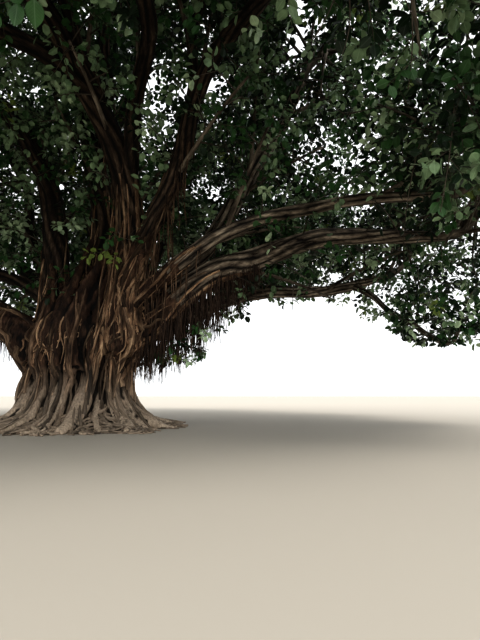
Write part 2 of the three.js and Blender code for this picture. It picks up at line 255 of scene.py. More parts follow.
# name, carrier, foot as a place or as a share of the carrier, leave, toward, ring, arrive, and thickness at
# foot and tip
limbTable = [
    ("right", "trunk", (-15, 0.62, 1.35), (-5, 40), -5, "skirt", (-8, 0), (0.34, 0.095)),
    ("right_low", "trunk", (40, 0.6, 1.4), (17, 42), 18, "skirt", (10, 18), (0.23, 0.09)),
    ("right_droop", "right_low", 0.86, (-40, -30), -3, "droop", (-50, -30), (0.075, 0.045)),
    ("right_front", "trunk", (-28, 0.8, 2.0), (-27, 40), -28, "skirt", (-60, -22), (0.17, 0.08)),
    ("right_rising", "trunk", (5, 0.7, 1.7), (-1, 49), 0, "shoulder", (-12, 68), (0.26, 0.11)),
    ("stem_front", "trunk", (-33, 1.05, 1.4), (50, 80), 258, "front", (250, -33), (0.33, 0.1)),
    ("front_left", "stem_front", 0.5, (240, 5), 228, "front", (205, -30), (0.17, 0.09)),
    ("front_right", "stem_front", 0.32, (-50, 70), 286, "front", (262, -30), (0.17, 0.09)),
    ("stem_right", "trunk", (-27, 1.0, 2.0), (-35, 73), 310, "front", (285, -30), (0.21, 0.095)),
    ("stem_left", "trunk", (170, 0.45, 1.2), (159, 80), 182, "shoulder", (184, 0), (0.33, 0.11)),
    ("left", "trunk", (200, 0.3, 1.25), (185, 38), 192, "skirt", (196, 0), (0.39, 0.105)),
    ("left_back", "stem_left", 0.15, (155, 32), 160, "skirt", (160, 4), (0.15, 0.085)),
    ("stem_back", "trunk", (80, 0.48, 1.7), (70, 86), 0, "crest", (0, 84), (0.33, 0.095)),
    ("back_left", "trunk", (130, 0.65, 1.5), (130, 42), 130, "rear", (130, 10), (0.29, 0.095)),
    ("back", "trunk", (100, 0.68, 1.65), (100, 46), 101, "rear", (100, 10), (0.26, 0.095)),
    ("back_right", "trunk", (70, 0.68, 1.45), (72, 42), 73, "rear", (72, 10), (0.28, 0.095)),
    ("back_right_low", "right_low", 0.16, (58, 30), 45, "rear", (42, 10), (0.14, 0.08)),
    ("shoulder_back_right", "back_right", 0.2, (60, 62), 52, "shoulder", (55, 45), (0.15, 0.085)),
    ("shoulder_back", "back", 0.18, (112, 66), 105, "shoulder", (106, 45), (0.15, 0.085)),
    ("shoulder_back_left", "back_left", 0.18, (146, 64), 146, "shoulder", (146, 45), (0.14, 0.08)),
    ("shoulder_front_left", "stem_left", 0.5, (235, 50), 226, "shoulder", (226, 30), (0.14, 0.08)),
    ("shoulder_front", "stem_front", 0.46, (275, 60), 272, "shoulder", (272, 30), (0.12, 0.075)),
    ("shoulder_right", "stem_right", 0.42, (325, 66), 316, "shoulder", (320, 40), (0.12, 0.075)),
    ("upper_right", "stem_back", 0.5, (30, 50), 30, "upper", (30, 55), (0.12, 0.07)),
    ("upper_back", "stem_back", 0.62, (120, 50), 120, "upper", (120, 50), (0.11, 0.07)),
    ("upper_left", "stem_back", 0.56, (210, 50), 210, "upper", (210, 50), (0.115, 0.07)),
    ("upper_front", "stem_back", 0.44, (300, 50), 300, "upper", (300, 55), (0.12, 0.07)),
]
# limbs whose tip leaves its ring's place: compass, reach and height
ownTips = {
    "right": (-5, 7.5, 3.78),
    "right_low": (15, 7.3, 3.62),
    "right_front": (-23, 6.98, 3.7),
    "right_rising": (0, 4.7, 7.7),
}
limbRule = {
    "sway": 0.02,  # of the chord
    "waves": (11, 9, 0.7),  # sideways, upwards, and how high these are to the others
    "phase": 1.7,  # from one limb to the next
    "taper": 0.85,
    "swell": (0.25, 0.35),  # at the foot on another limb and on the trunk
    "swellFade": 22,
    "steps": 401,
}
# how far a limb keeps to its first course and to its last one, as shares of its chord
plainHold = (0.38, 0.38)
ownHolds = {
    "right": (0.58, 0.55),
    "right_front": (0.45, 0.5),
    "stem_front": (0.56, 0.7),
    "front_left": (0.39, 0.5),
    "front_right": (0.42, 0.5),
    "stem_right": (0.42, 0.55),
    "stem_left": (0.34, 0.5),
    "left": (0.42, 0.38),
}


def spot(compass, reach, height):
    # the point (reach * cos, reach * sin, height) for one compass angle in degrees
    turn = math.radians(compass)
    return np.array([math.cos(turn) * reach, math.sin(turn) * reach, height])


def heading(compass, climb):
    # the direction of a compass angle and a climb in degrees: out by the climb's cosine, up by its sine
    return spot(compass, math.cos(math.radians(climb)), math.sin(math.radians(climb)))


def swayed(run, t):
    # cubic curve between a limb's ends, plus a slow sway that fades out at both
    t = np.asarray(t, float)[..., None]
    a, b, c, d = run["controls"]
    point = (1 - t) ** 3 * a + 3 * (1 - t) ** 2 * t * b + 3 * (1 - t) * t**2 * c + t**3 * d
    sideWaves, highWaves, high = limbRule["waves"]
    fade = np.sin(math.pi * t) * run["sway"]
    point = point + run["across"] * fade * np.sin(sideWaves * t + run["phase"])
    return point + upward * fade * high * np.sin(highWaves * t + 2 * run["phase"])


def alongLimb(run, share):
    # the point at a share of the limb's true length
    return swayed(run, np.interp(np.asarray(share) * run["length"], run["arc"], run["steps"]))


def limbFrame(run, centre):
    # a side and a top direction square to a limb's course, the side from the limb's own fixed one
    course = unit(np.gradient(centre, axis=0))
    side = unit(run["across"] - (course @ run["across"])[:, None] * course)
    return side, np.cross(course, side)


def limbRadius(run, share):
    # from the foot's radius to the tip's by a power of the rest of the length, with a swelling at the foot
    foot, tip = run["thick"]
    taper = tip + (foot - tip) * np.clip(1 - share, 0, 1) ** limbRule["taper"]
    return taper * (1 + run["swell"] * np.exp(-limbRule["swellFade"] * share))


def planLimbs():
    # for each row its ends and the controls between them, its length, and how it sways and swells
    runs = {}
    for index, (name, on, foot, leave, toward, ring, arrive, thick) in enumerate(limbTable):
        carrier = runs.get(on)
        start = alongLimb(carrier, foot) if carrier else spot(*foot)
        end = spot(*ownTips.get(name, (toward, *rings[ring]["tip"])))
        chord = np.linalg.norm(end - start)
        near, far = ownHolds.get(name, plainHold)
        rise = heading(*leave) * chord * near
        settle = heading(*arrive) * chord * far
        run = {
            "name": name,
            "on": on,
            "index": index,
            "node": name if name.startswith("stem") else "bough_" + name,
            "ring": rings[ring],
            "toward": toward,
            "thick": thick,
            "swell": limbRule["swell"][0 if carrier else 1],
            "sway": limbRule["sway"] * chord,
            "phase": index * limbRule["phase"],
            "across": unit(np.cross(end - start, upward)),
            "controls": (start, start + rise, end - settle, end),
            "steps": np.linspace(0, 1, limbRule["steps"]),
        }
        pace = np.linalg.norm(np.diff(swayed(run, run["steps"]), axis=0), axis=1)
        run["arc"] = np.concatenate([[0], np.cumsum(pace)])
        run["length"] = run["arc"][-1]
        runs[name] = run
    return runs


runs = planLimbs()
print(f"{len(runs)} limbs planned")

# bark: one way of making it, for the trunk, the boughs and the roots
barkLook = {
    # the trunk's colours, darker than its bark is: painted shade for the deep shade under the crown
    "crack": (0.005, 0.0022, 0.0012),
    "body": (0.019, 0.0095, 0.0055),
    "ridge": (0.072, 0.041, 0.0255),
    "stops": (0.35, 0.5, 0.67),  # of the plates' noise, for the three colours above
    "dust": (0.32, 0.258, 0.195),
    "dustHeights": (1.2, 0.15),  # metres up at which dust begins, and under which it is thickest
    "dustMost": 0.85,
    "grain": 6.0,
    "stretch": 0.3,  # of heights, where the grain runs straight up
    "plates": {"Detail": 7, "Roughness": 0.62},
    "fibres": (5, 4),  # how many to a plate, and their detail
    # the values between which a map runs, and what it gives at them
    # painted shade where the hollow attribute is high, painted light where it is low
    "hollowShade": (-0.45, 0.42, 1.5, 0.08),
    "fibreTone": (0.3, 0.7, 0.6, 1.4),
    "rough": (0, 1, 0.72, 0.98),
    "specular": 0.25,
    "fibreBump": 0.4,
    "bump": {"Strength": 0.8, "Distance": 0.05},
}


def addNode(tree, kind, values=None, sources=None, **options):
    # a node with its options set, the values of its inputs, and links from the sources to its inputs
    node = tree.nodes.new("ShaderNode" + kind)
    for key, value in options.items():
        setattr(node, key, value)
    for key, value in (values or {}).items():
        node.inputs[key].default_value = value
    for key, source in (sources or {}).items():
        tree.links.new(source, node.inputs[key])
    return node


def addMap(tree, source, least, most, first=0.0, last=1.0):
    # first where the source is least, last where it is most, and evenly between
    values = {"From Min": least, "From Max": most, "To Min": first, "To Max": last}
    return addNode(tree, "MapRange", values, {"Value": source}).outputs["Result"]


def addMath(tree, operation, sources, values=None):
    # the value of one operation on the sources and values
    return addNode(tree, "Math", values, sources, operation=operation).outputs["Value"]


def addRamp(tree, source, stops):
    # a colour for every value of the source, through stops of a value and a colour
    node = addNode(tree, "ValToRGB", sources={"Fac": source})
    elements = node.color_ramp.elements
    for element, (place, colour) in zip(elements, (stops[0], stops[-1])):
        element.position, element.color = place, (*colour, 1)
    for place, colour in stops[1:-1]:
        elements.new(place).color = (*colour, 1)
    return node.outputs["Color"]


def makeBark(name, look):
    # noise drawn out along the grain gives plates and a finer one fibres; the mesh's own hollows give painted
    # shade, and what stands out painted light:
    # colour = (ramp of plates, mixed with dust by height) * painted shade and light of the hollows * tone of
    # fibres
    material, tree, shader = makeMaterial(name)
    place = addNode(tree, "TexCoord").outputs["Object"]
    if name == "trunkBark":
        course, scale = place, (1, 1, look["stretch"])
    else:
        course, scale = addNode(tree, "Attribute", attribute_name="grain").outputs["Vector"], (1, 1, 1)
    course = addNode(tree, "Mapping", {"Scale": scale}, {"Vector": course}).outputs["Vector"]
    coarse = {"Scale": look["grain"], **look["plates"]}
    narrow = {"Scale": look["grain"] * look["fibres"][0], "Detail": look["fibres"][1]}
    plates = addNode(tree, "TexNoise", coarse, {"Vector": course}).outputs["Fac"]
    fibres = addNode(tree, "TexNoise", narrow, {"Vector": course}).outputs["Fac"]
    colours = addRamp(tree, plates, list(zip(look["stops"], (look["crack"], look["body"], look["ridge"]))))

    # painted shade in the hollows and painted light where the bark stands out
    hollow = addNode(tree, "Attribute", attribute_name="hollow").outputs["Fac"]
    hollowShade = addMap(tree, hollow, *look["hollowShade"])
    fibreTone = addMap(tree, fibres, *look["fibreTone"])
    height = addNode(tree, "SeparateXYZ", sources={"Vector": place}).outputs["Z"]
    dust = addMap(tree, height, *look["dustHeights"], 0.0, look["dustMost"])
    mixed = {"Factor": dust, "A": colours}
    paled = addNode(tree, "Mix", {"B": (*look["dust"], 1)}, mixed, data_type="RGBA").outputs["Result"]
    shade = addMath(tree, "MULTIPLY", {0: hollowShade, 1: fibreTone})
    darkened = addNode(tree, "VectorMath", None, {"Vector": paled, "Scale": shade}, operation="SCALE")
    tree.links.new(darkened.outputs["Vector"], shader.inputs["Base Color"])

    tree.links.new(addMap(tree, plates, *look["rough"]), shader.inputs["Roughness"])
    shader.inputs["Specular IOR Level"].default_value = look["specular"]
    rise = addMath(tree, "MULTIPLY_ADD", {0: fibres, 2: plates}, {1: look["fibreBump"]})
    bump = addNode(tree, "Bump", look["bump"], {"Height": rise})
    tree.links.new(bump.outputs["Normal"], shader.inputs["Normal"])
    return material


# how each bark differs from the look above
barkTints = {
    "trunkBark": {},
    "stemBark": {"grain": 7.0, "body": (0.036, 0.024, 0.016), "ridge": (0.115, 0.08, 0.055)},
    "boughBark": {"grain": 7.0, "body": (0.15, 0.12, 0.09), "ridge": (0.4, 0.335, 0.258)},
}
# crack, body, ridge and grain of the roots' and twigs' bark
thinBarks = {
    "cordBark": ((0.018, 0.01, 0.006), (0.1, 0.062, 0.038), (0.3, 0.2, 0.13), 9.0),
    "paleRootBark": ((0.03, 0.016, 0.01), (0.2, 0.12, 0.07), (0.56, 0.39, 0.245), 9.0),
    "fineRootBark": ((0.014, 0.009, 0.007), (0.05, 0.032, 0.023), (0.14, 0.09, 0.062), 6.0),
    "twigBark": ((0.035, 0.03, 0.022), (0.11, 0.09, 0.068), (0.24, 0.21, 0.17), 6.0),
}
for name, colours in thinBarks.items():
    barkTints[name] = dict(zip(("crack", "body", "ridge", "grain"), colours))
barks = {name: makeBark(name, {**barkLook, **tint}) for name, tint in barkTints.items()}

# trunk: root strands fused over a fluted core
trunkLook = {
    # radius and height of the core, from the flare up to the fork; its roots bring it to the solid's outline
    "outline": [
        (1.8, 0.0), (1.16, 0.18), (0.88, 0.46), (0.73, 0.85), (0.78, 1.3), (0.88, 1.7), (0.8, 2.05),
        (0.5, 2.3), (0.1, 2.4),
    ],
    "coreGrid": (80, 160),  # rings, and points to each
    "coreFoot": -0.05,
    "lean": 0.04,  # metres towards the view for each metre up
    "fluteDepth": (0.045, 0.13),  # high up, and what the ground adds
    "fluteFade": 0.47,
    "flutes": [(0.65, 9, 0.6), (0.35, 5, 4)],  # share of the depth, waves round the trunk, and their turn
    "strands": 2,  # for each limb that leaves the trunk
    "headStrands": 18,
    "headPlace": (1.4, 1.0, 2.6),  # reach, and least and greatest height of their tops
    "strandRadius": (0.03, 0.075),
    "strandTop": (0.5, 2.2),  # metres along the limb at which they start
    "strandLean": (0.1, -0.35, -0.1),
    "strandTube": (64, 10),  # points along it, and sides
    "strandCrawl": (110, 0.06),  # steps at most, and metres to a step
    "coarseVoxel": 0.07,
    "voxel": 0.026,
    "fused": 1.8,  # metres of each limb's foot that are fused with it
    "drawn": (1, 1, 0.25),
    "relief": [(0.005, 0.16, 3), (0.004, 0.08, 4)],  # height, length and seed of its waves
    "rounds": (150, 40),
    "wideDip": 0.06,  # metres inward that count as one
    "nearDip": 8,
    "footShade": (0.22, 0.7),  # painted shade at the trunk's foot, among the roots that lie on it, and the height over which it fades
    "behind": (-0.33, 0.94, 0.0),  # points away from the view
}


def outlineAt(look, share):
    # a Catmull-Rom curve through the outline's points
    knots = np.array(look["outline"])
    place = np.clip(np.asarray(share, float), 0, 1) * (len(knots) - 1)
    at = np.minimum(place.astype(int), len(knots) - 2)
    t = (place - at)[..., None]
    a, b = knots[np.maximum(at - 1, 0)], knots[at]
    c, d = knots[at + 1], knots[np.minimum(at + 2, len(knots) - 1)]
    curve = 2 * b + (c - a) * t + (2 * a - 5 * b + 4 * c - d) * t**2 + (3 * b - a - 3 * c + d) * t**3
    return curve[..., 0] / 2, curve[..., 1] / 2


def fluteAt(look, compass, height):
    # the factor on the radius: 1 + depth * waves round the trunk, the depth dying away with height
    high, low = look["fluteDepth"]
    depth = high + low * np.exp(-height / look["fluteFade"])
    return 1 + depth * sum(share * np.cos(number * compass + turn) for share, number, turn in look["flutes"])


def trunkCore(look):
    # rings of the outline's radius * flutes, one above the other, leaning a little towards the view
    steps, sides = look["coreGrid"]
    share = np.linspace(0, 1, steps)[:, None]
    compass = np.linspace(0, fullTurn, sides, endpoint=False)[None]
    radius, height = outlineAt(look, share + 0 * compass)
    radius = radius * fluteAt(look, compass, height)
    height = np.where(share == 0, look["coreFoot"], height)
    points = [radius * np.cos(compass), radius * np.sin(compass) - look["lean"] * height, height]
    return np.stack(points, -1).reshape(-1, 3), ringFaces(steps, sides)


def evenSteps(path, count):
    # the same path with its points at even distances
    pace = np.linalg.norm(np.diff(path, axis=0), axis=1)
    along = np.concatenate([[0], np.cumsum(pace)])
    places = np.linspace(0, along[-1], count)
    return np.stack([np.interp(places, along, path[:, k]) for k in range(3)], -1)


def nearestOn(trees, point):
    # the hit, its normal, face and distance, of the surface that is nearest to the point
    found = [tree.find_nearest(point) for tree in trees]
    return min((hit for hit in found if hit[0] is not None), key=lambda hit: hit[3])


crawlLook = {
    "floor": 0.05,  # a root that gets under this height ends
    "low": 0.5,  # under this height it runs outwards, and ends at the reach
    "reach": 1.7,
    "wander": (0.14, 0.1),  # of a thick root and a thin one
    "overhang": (-0.15, -1.2),  # a normal that points down more than the first turns it inwards by the second
    "outward": (0.35, 0.9),  # high up and low down
    "swing": (1.3, 0.3),
    "lift": 0.2,
}


def crawl(look, trees, start, steps, pace, wander, rng):
    # a root's path down a surface: each step goes with gravity along it, drifts a little and holds on, and
    # low down it goes outwards
    point = Vector(start)
    path = []
    drift = rng.uniform(-wander, wander)
    phase = rng.uniform(*phases)
    for step in range(steps):
        hit, normal, _, _ = nearestOn(trees, point)
        path.append(tuple(hit))
        outward = Vector((hit.x, hit.y, 0)).normalized()
        if hit.z < look["floor"] or (hit.z < look["low"] and math.hypot(hit.x, hit.y) > look["reach"]):
            break
        lean = look["outward"][0] if hit.z > look["low"] else look["outward"][1]
        if normal.z < look["overhang"][0]:
            lean = look["overhang"][1]
        way = Vector((0, 0, -1)) + outward * lean
        much, often = look["swing"]
        way = way + normal.cross(way) * (drift + much * wander * math.sin(phase + step * often))
        way = (way - normal * way.dot(normal)).normalized()
        point = hit + way * pace + normal * pace * look["lift"]
    return np.array(path)


runOutLook = {
    "steps": 9,
    "turn": 0.06,
    "wave": (0.03, 3, 9),  # radians, and the least and greatest phase at its end
    "reach": (1.95, 2.25),
    "least": 0.05,  # metres further than where it began
    "height": 0.01,
}


def runOut(look, path, rng):
    # the path carried on outwards along the ground to a random reach, wandering a little
    share = np.linspace(0, 1, look["steps"])[1:]
    end = path[-1]
    compass = math.atan2(end[1], end[0]) + rng.normal(0, look["turn"]) * share
    wave, slow, quick = look["wave"]
    compass = compass + wave * np.sin(np.linspace(0, rng.uniform(slow, quick), look["steps"])[1:])
    first = math.hypot(end[0], end[1])
    last = max(rng.uniform(*look["reach"]), first + look["least"])
    reach = np.linspace(first, last, look["steps"])[1:]
    height = np.linspace(end[2], look["height"], look["steps"])[1:]
    return np.concatenate([path, polar(compass, reach, height)])


def rootDown(trees, start, steps, pace, wander, count, rng):
    # a root that crawls down, runs out along the ground if it gets there, and has evenly spaced points
    path = crawl(crawlLook, trees, start, steps, pace, wander, rng)
    if path[-1][2] < crawlLook["low"]:
        path = runOut(runOutLook, path, rng)
    return evenSteps(path, count)


def trunkStrands(look, trees, rng):
    # strands start round the feet of the limbs and round the head, and run down over the trunk into the flare
    starts = []
    for run in runs.values():
        for _ in range(look["strands"] if run["on"] == "trunk" else 0):
            share = rng.uniform(*look["strandTop"]) / run["length"]
            out = unit(rng.normal(size=3) + look["strandLean"])
            starts.append(alongLimb(run, share) + out * limbRadius(run, share))
    reach, low, high = look["headPlace"]
    for k in range(look["headStrands"]):
        compass = 360 * (k + rng.uniform(-0.3, 0.3)) / look["headStrands"]
        starts.append(spot(compass, reach, rng.uniform(low, high)))
    paths, thick = [], []
    steps, sides = look["strandTube"]
    for start in starts:
        paths.append(rootDown(trees, start, *look["strandCrawl"], crawlLook["wander"][0], steps, rng))
        thick.append(rng.uniform(*look["strandRadius"]) * (1.25 if rng.random() < 0.25 else 0.9))
    t = np.linspace(0, 1, steps)[None]
    thick = np.array(thick)[:, None] * ((0.35 + 0.65 * swell(t, 1.6)) * (1 - 0.55 * t**4))
    return tubeArrays(np.array(paths), thick * uneven(0.12, 14 * t, len(paths), rng), sides)


# big roots of the front: compass at their top, at the waist and on the ground, share of the outline at the
# top, radius, and how far the top stands out under a limb's foot
frontRoots = [
    (203, 212, 226, 0.62, 0.14, 0.22), (232, 243, 247, 0.6, 0.105, 0.06), (252, 262, 262, 0.56, 0.085, 0.0),
    (282, 273, 268, 0.6, 0.1, 0.0), (306, 297, 279, 0.68, 0.14, 0.04), (312, 310, 299, 0.5, 0.07, 0.0),
    (320, 329, 314, 0.6, 0.14, 0.28), (336, 343, 329, 0.6, 0.11, 0.3), (354, 358, 344, 0.62, 0.15, 0.28),
]
backRoots = {"count": 9, "first": 12, "apart": 20.5, "radius": 0.12, "share": 0.6, "stand": 0.12}
# thinner ones that stand between the stems: first and last compass, how many, and the stem and the share of
# it that they lean to
pillarGroups = [
    (212, 252, 7, "stem_left", 0.24), (246, 276, 6, "stem_back", 0.24), (262, 306, 8, "stem_front", 0.21),
    (20, 70, 7, "stem_back", 0.2), (70, 120, 7, "stem_back", 0.24), (120, 165, 7, "stem_left", 0.2),
]


def bigRootParts(look, back):
    # each keeps to the outline as it goes down, and its compass bows through its three angles
    rows = [*frontRoots]
    for k in range(back["count"]):
        turn = back["first"] + back["apart"] * k
        thick = back["radius"] + 0.03 * math.sin(3 * k)
        compass = (turn + 6 * math.sin(k), turn, turn - 8 * math.sin(2 * k))
        rows.append((*compass, back["share"], thick, back["stand"]))
    top, waist, ground, share, radius, stand = np.array(rows).T[:, :, None]
    t = np.linspace(0, 1, 40)[None]
    reach, height = outlineAt(look, share * (1 - t))
    compass = top * (1 - t) * (1 - 2 * t) + waist * 4 * t * (1 - t) + ground * t * (2 * t - 1)
    compass = np.radians(compass + 2.2 * np.sin(9 * t + top))
    tip = np.where(stand > 0.1, 1.0, 0.25 + 0.75 * swell(t, 3))
    thick = radius * (0.8 + 0.35 * np.sin(math.pi * t) - 0.25 * t**3) * tip
    droop = np.cos(math.pi * np.clip(1.7 * t, 0, 0.5))
    reach = reach + 0.8 * radius + stand * droop - 0.3 * radius * (1 - tip)
    return tubeArrays(polar(compass, reach, height + 0.02), thick, 14)


def pillarParts():
    # each bows from a foot on the core through a knee to a point on its stem, and waves a little
    paths, thick = [], []
    t = np.linspace(0, 1, 24)[:, None]
    for first, last, count, name, share in pillarGroups:
        for number in range(count):
            compass = first + (last - first) * (number + 0.5) / count
            foot = spot(compass, 0.86 + 0.07 * math.sin(3 * number), 1.25 + 0.3 * math.sin(2 * number))
            top = alongLimb(runs[name], share + 0.05 * math.sin(5 * number))
            knee = spot(compass + 9 * math.sin(4 * number), 0.8, foot[2] * 0.35 + top[2] * 0.65)
            wave = np.concatenate([np.sin(7 * t + number), np.cos(6 * t + number), 0 * t], 1) * 0.035
            paths.append(bow((foot, knee, top), t) + wave)
            thick.append((0.075 + 0.035 * math.sin(7 * number)) * (1.1 - 0.5 * t[:, 0]))
    return tubeArrays(np.array(paths), np.array(thick), 10)


limbLook = {
    "sides": (44, 26),  # of a heavy limb and of a light one
    "pace": (0.06, 0.09),
    "heavy": 0.2,  # radius of the foot from which a limb counts as heavy
    "ridges": (9, 6),
    "ridgeDepth": (0.035, 0.13, 1.5),  # far along, what the foot adds, and the metres over which that fades
    "tipShare": (0.85, 0.15),
    "lump": (0.045, 0.7, 50),  # share of the radius, length, and first seed
    "grainPace": 0.28,
    "footSides": 56,
    "footPace": 0.05,
    "footOverlap": 0.35,  # metres
    "overlap": 0.3,
}


def fromFused(run):
    # the share of a limb's length at which its own tube takes over from the fused trunk
    return min(trunkLook["fused"] / run["length"], 0.5) if run["on"] == "trunk" else 0.0


def footEnd(run):
    # the share up to which a limb's foot is fused with the trunk, a little past where its own tube takes over
    return fromFused(run) + limbLook["footOverlap"] / run["length"]


def footThin(run, share):
    # the factor on a fused foot's radius: rounded off in the trunk, and thinner where its own tube takes over
    over = fromFused(run)
    rounded = 0.66 + 0.34 * swell(share * run["length"], 1)
    return rounded * (1.02 - 0.25 * np.clip((share - over) / (footEnd(run) - over), 0, 1))


def limbTube(run, start, end, sides, pace, isFoot=False):
    # rings along a limb: the solid's radius, times ridges that wander round it and fade towards its tip
    look = limbLook
    steps = max(int((end - start) * run["length"] / pace), 4)
    share = np.linspace(start, end, steps)
    centre = alongLimb(run, share)
    along = share * run["length"]
    base = limbRadius(run, share)
    angle = ringAngles(sides)
    phase = run["phase"]
    wander = 0.5 * np.sin(1.1 * along + phase) + 0.25 * np.sin(2.9 * along + 2 * phase) + 0.22 * along
    ridges = look["ridges"][0 if run["thick"][0] > look["heavy"] else 1]
    broad = np.abs(np.cos(0.5 * ridges * (angle[None] + wander[:, None])))
    narrow = np.abs(np.cos(0.5 * (2 * ridges + 3) * (angle[None] - 0.6 * wander[:, None]) + phase))
    far, foot, fade = look["ridgeDepth"]
    depth = (far + foot * np.exp(-along / fade))[:, None]
    relief = depth * (broad - 0.7) + 0.35 * depth * (narrow - 0.6)
    tip = swell(1 - share, 12) if end == 1 and not isFoot else np.ones(steps)
    radius = base[:, None] * (1 + relief) * (tip[:, None] * look["tipShare"][1] + look["tipShare"][0])
    if isFoot:
        radius = radius * footThin(run, share)[:, None]
    side, top = limbFrame(run, centre)
    ring = around(side[:, None], top[:, None], angle)
    points = centre[:, None] + radius[..., None] * ring
    much, long, seed = look["lump"]
    lump = ripple(points.reshape(-1, 3), long, seed + run["index"]).reshape(radius.shape)
    points = points + ring * (much * base[:, None] * lump)[..., None]
    flat = [np.cos(angle)[None] * base[:, None], np.sin(angle)[None] * base[:, None]]
    grain = np.stack([*flat, look["grainPace"] * along[:, None] + 0 * angle[None]], -1) + 3.0 * run["index"]
    # painted shade in the grooves between the ridges and painted light on their crests
    hollow = (-relief / depth).reshape(-1)
    return points.reshape(-1, 3), ringFaces(steps, sides), grain.reshape(-1, 3), hollow


def footParts():
    # the feet of the limbs that leave the trunk
    look = limbLook
    feet = [run for run in runs.values() if run["on"] == "trunk"]
    return [limbTube(run, 0.0, footEnd(run), look["footSides"], look["footPace"], True)[:2] for run in feet]


def hollowness(points, edges):
    # from each point to the mean of its neighbours
    total = np.zeros_like(points)
    number = np.zeros(len(points))
    np.add.at(total, edges[:, 0], points[edges[:, 1]])
    np.add.at(total, edges[:, 1], points[edges[:, 0]])
    np.add.at(number, edges.ravel(), 1)
    return total / np.maximum(number, 1)[:, None] - points


def readMesh(mesh):
    # a mesh's points, its normals at them, and its edges
    points = np.empty(len(mesh.vertices) * 3, np.float32)
    mesh.vertices.foreach_get("co", points)
    normals = np.empty(len(mesh.vertices) * 3, np.float32)
    mesh.vertices.foreach_get("normal", normals)
    edges = np.empty(len(mesh.edges) * 2, np.int32)
    mesh.edges.foreach_get("vertices", edges)
    return points.reshape(-1, 3).astype(float), normals.reshape(-1, 3).astype(float), edges.reshape(-1, 2)


def evenOut(values, edges, rounds):
    # each value moves halfway to the mean of its neighbours, again and again
    number = np.bincount(edges.ravel(), minlength=len(values))
    for _ in range(rounds):
        total = np.bincount(edges[:, 0], values[edges[:, 1]], len(values))
        total += np.bincount(edges[:, 1], values[edges[:, 0]], len(values))
        values = 0.5 * values + 0.5 * total / np.maximum(number, 1)
    return values


def fusedMesh(piece, voxel, smoothing):
    # a new mesh: the piece's overlapping solids as one skin, as fine as the voxel, evened out some times
    fuse = piece.modifiers.new("fuse", "REMESH")
    fuse.mode = "VOXEL"
    fuse.voxel_size = voxel
    smooth = piece.modifiers.new("smooth", "SMOOTH")
    smooth.factor = 0.5
    smooth.iterations = smoothing
    mesh = bpy.data.meshes.new_from_object(piece.evaluated_get(bpy.context.evaluated_depsgraph_get()))
    bpy.data.objects.remove(piece)
    return mesh


def paintedShadeAndLight(look, points, normals, edges):
    # painted shade: how far each point lies inward of its wide surroundings and of its near ones, and more
    # near the ground; negative where it stands out, for painted light
    rounds = look["rounds"][0]
    wide = np.stack([evenOut(points[:, k], edges, rounds) for k in range(3)], -1)
    near = (hollowness(points, edges) * normals).sum(1)
    dip = ((wide - points) * normals).sum(1) / look["wideDip"] + near / look["voxel"] * look["nearDip"]
    # painted shade that grows towards the ground
    foot, fade = look["footShade"]
    dip = np.clip(evenOut(dip, edges, 2) + foot * np.exp(-points[:, 2] / fade), -0.8, 1)
    dip[points[:, 2] < 0.001] = 0
    return dip


def makeTrunk(look):
    # core, pillars, big roots and feet fused roughly, strands laid over them, all fused finely, with a relief
    rng = np.random.default_rng(11)
    solids = [trunkCore(look), pillarParts(), bigRootParts(look, backRoots), *footParts()]
    coarse = makePiece("coarse", *joined(solids))
    fuse = coarse.modifiers.new("fuse", "REMESH")
    fuse.mode = "VOXEL"
    fuse.voxel_size = look["coarseVoxel"]
    trees = [BVHTree.FromObject(coarse, bpy.context.evaluated_depsgraph_get())]
    bpy.data.objects.remove(coarse)
    rough = makePiece("rough", *joined([*solids, trunkStrands(look, trees, rng)]))
    fused = fusedMesh(rough, look["voxel"] * (1), 2)
    points, normals, _ = readMesh(fused)
    drawn = points * look["drawn"]
    relief = sum(height * ripple(drawn, length, seed) for height, length, seed in look["relief"])
    points = points + normals * relief[:, None]
    points[:, 2] = np.maximum(points[:, 2], 0)
    fused.vertices.foreach_set("co", points.astype(np.float32).ravel())
    fused.update()
    points, normals, edges = readMesh(fused)
    # painted shade in the trunk's hollows and low down, painted light where it stands out
    dip = paintedShadeAndLight(look, points, normals, edges)
    corners = np.empty(len(fused.loops), np.int32)
    fused.loops.foreach_get("vertex_index", corners)
    corners = corners.reshape(-1, 4)
    bpy.data.meshes.remove(fused)
    # two pieces, one that faces the view and one behind, that share the whole mesh's normals
    behind = points[corners].mean(1) @ np.array(look["behind"]) > 0
    pieces = []
    for name, chosen, nodes in (("bark_trunk_front", ~behind, ["trunk"]), ("bark_trunk_back", behind, ())):
        used, faces = np.unique(corners[chosen], return_inverse=True)
        piece = makePiece(name, points[used], [faces.reshape(-1, 4)], {"hollow": dip[used]})
        piece.data.normals_split_custom_set_from_vertices(normals[used])
        finishPiece(piece, barks["trunkBark"], nodes)
        pieces.append(piece)
        print(name, len(piece.data.polygons), "faces")
    return pieces


trunkPieces = makeTrunk(trunkLook)


def makeBough(run):
    # a limb's own tube beyond the fused trunk, or all of it where another limb carries it
    look = limbLook
    start = max(fromFused(run) - look["overlap"] / run["length"], 0.0)
    weight = 0 if run["thick"][0] > look["heavy"] else 1
    points, sets, grain, hollow = limbTube(run, start, 1.0, look["sides"][weight], look["pace"][weight])
    piece = makePiece("bark_" + run["name"], points, sets, {"grain": grain, "hollow": hollow})
    pale = run["name"].startswith("right") or run["name"] == "left"
    finishPiece(piece, barks["boughBark" if pale else "stemBark"], [run["node"]])
    return piece


boughPieces = {name: makeBough(run) for name, run in runs.items()}
print("boughs made")


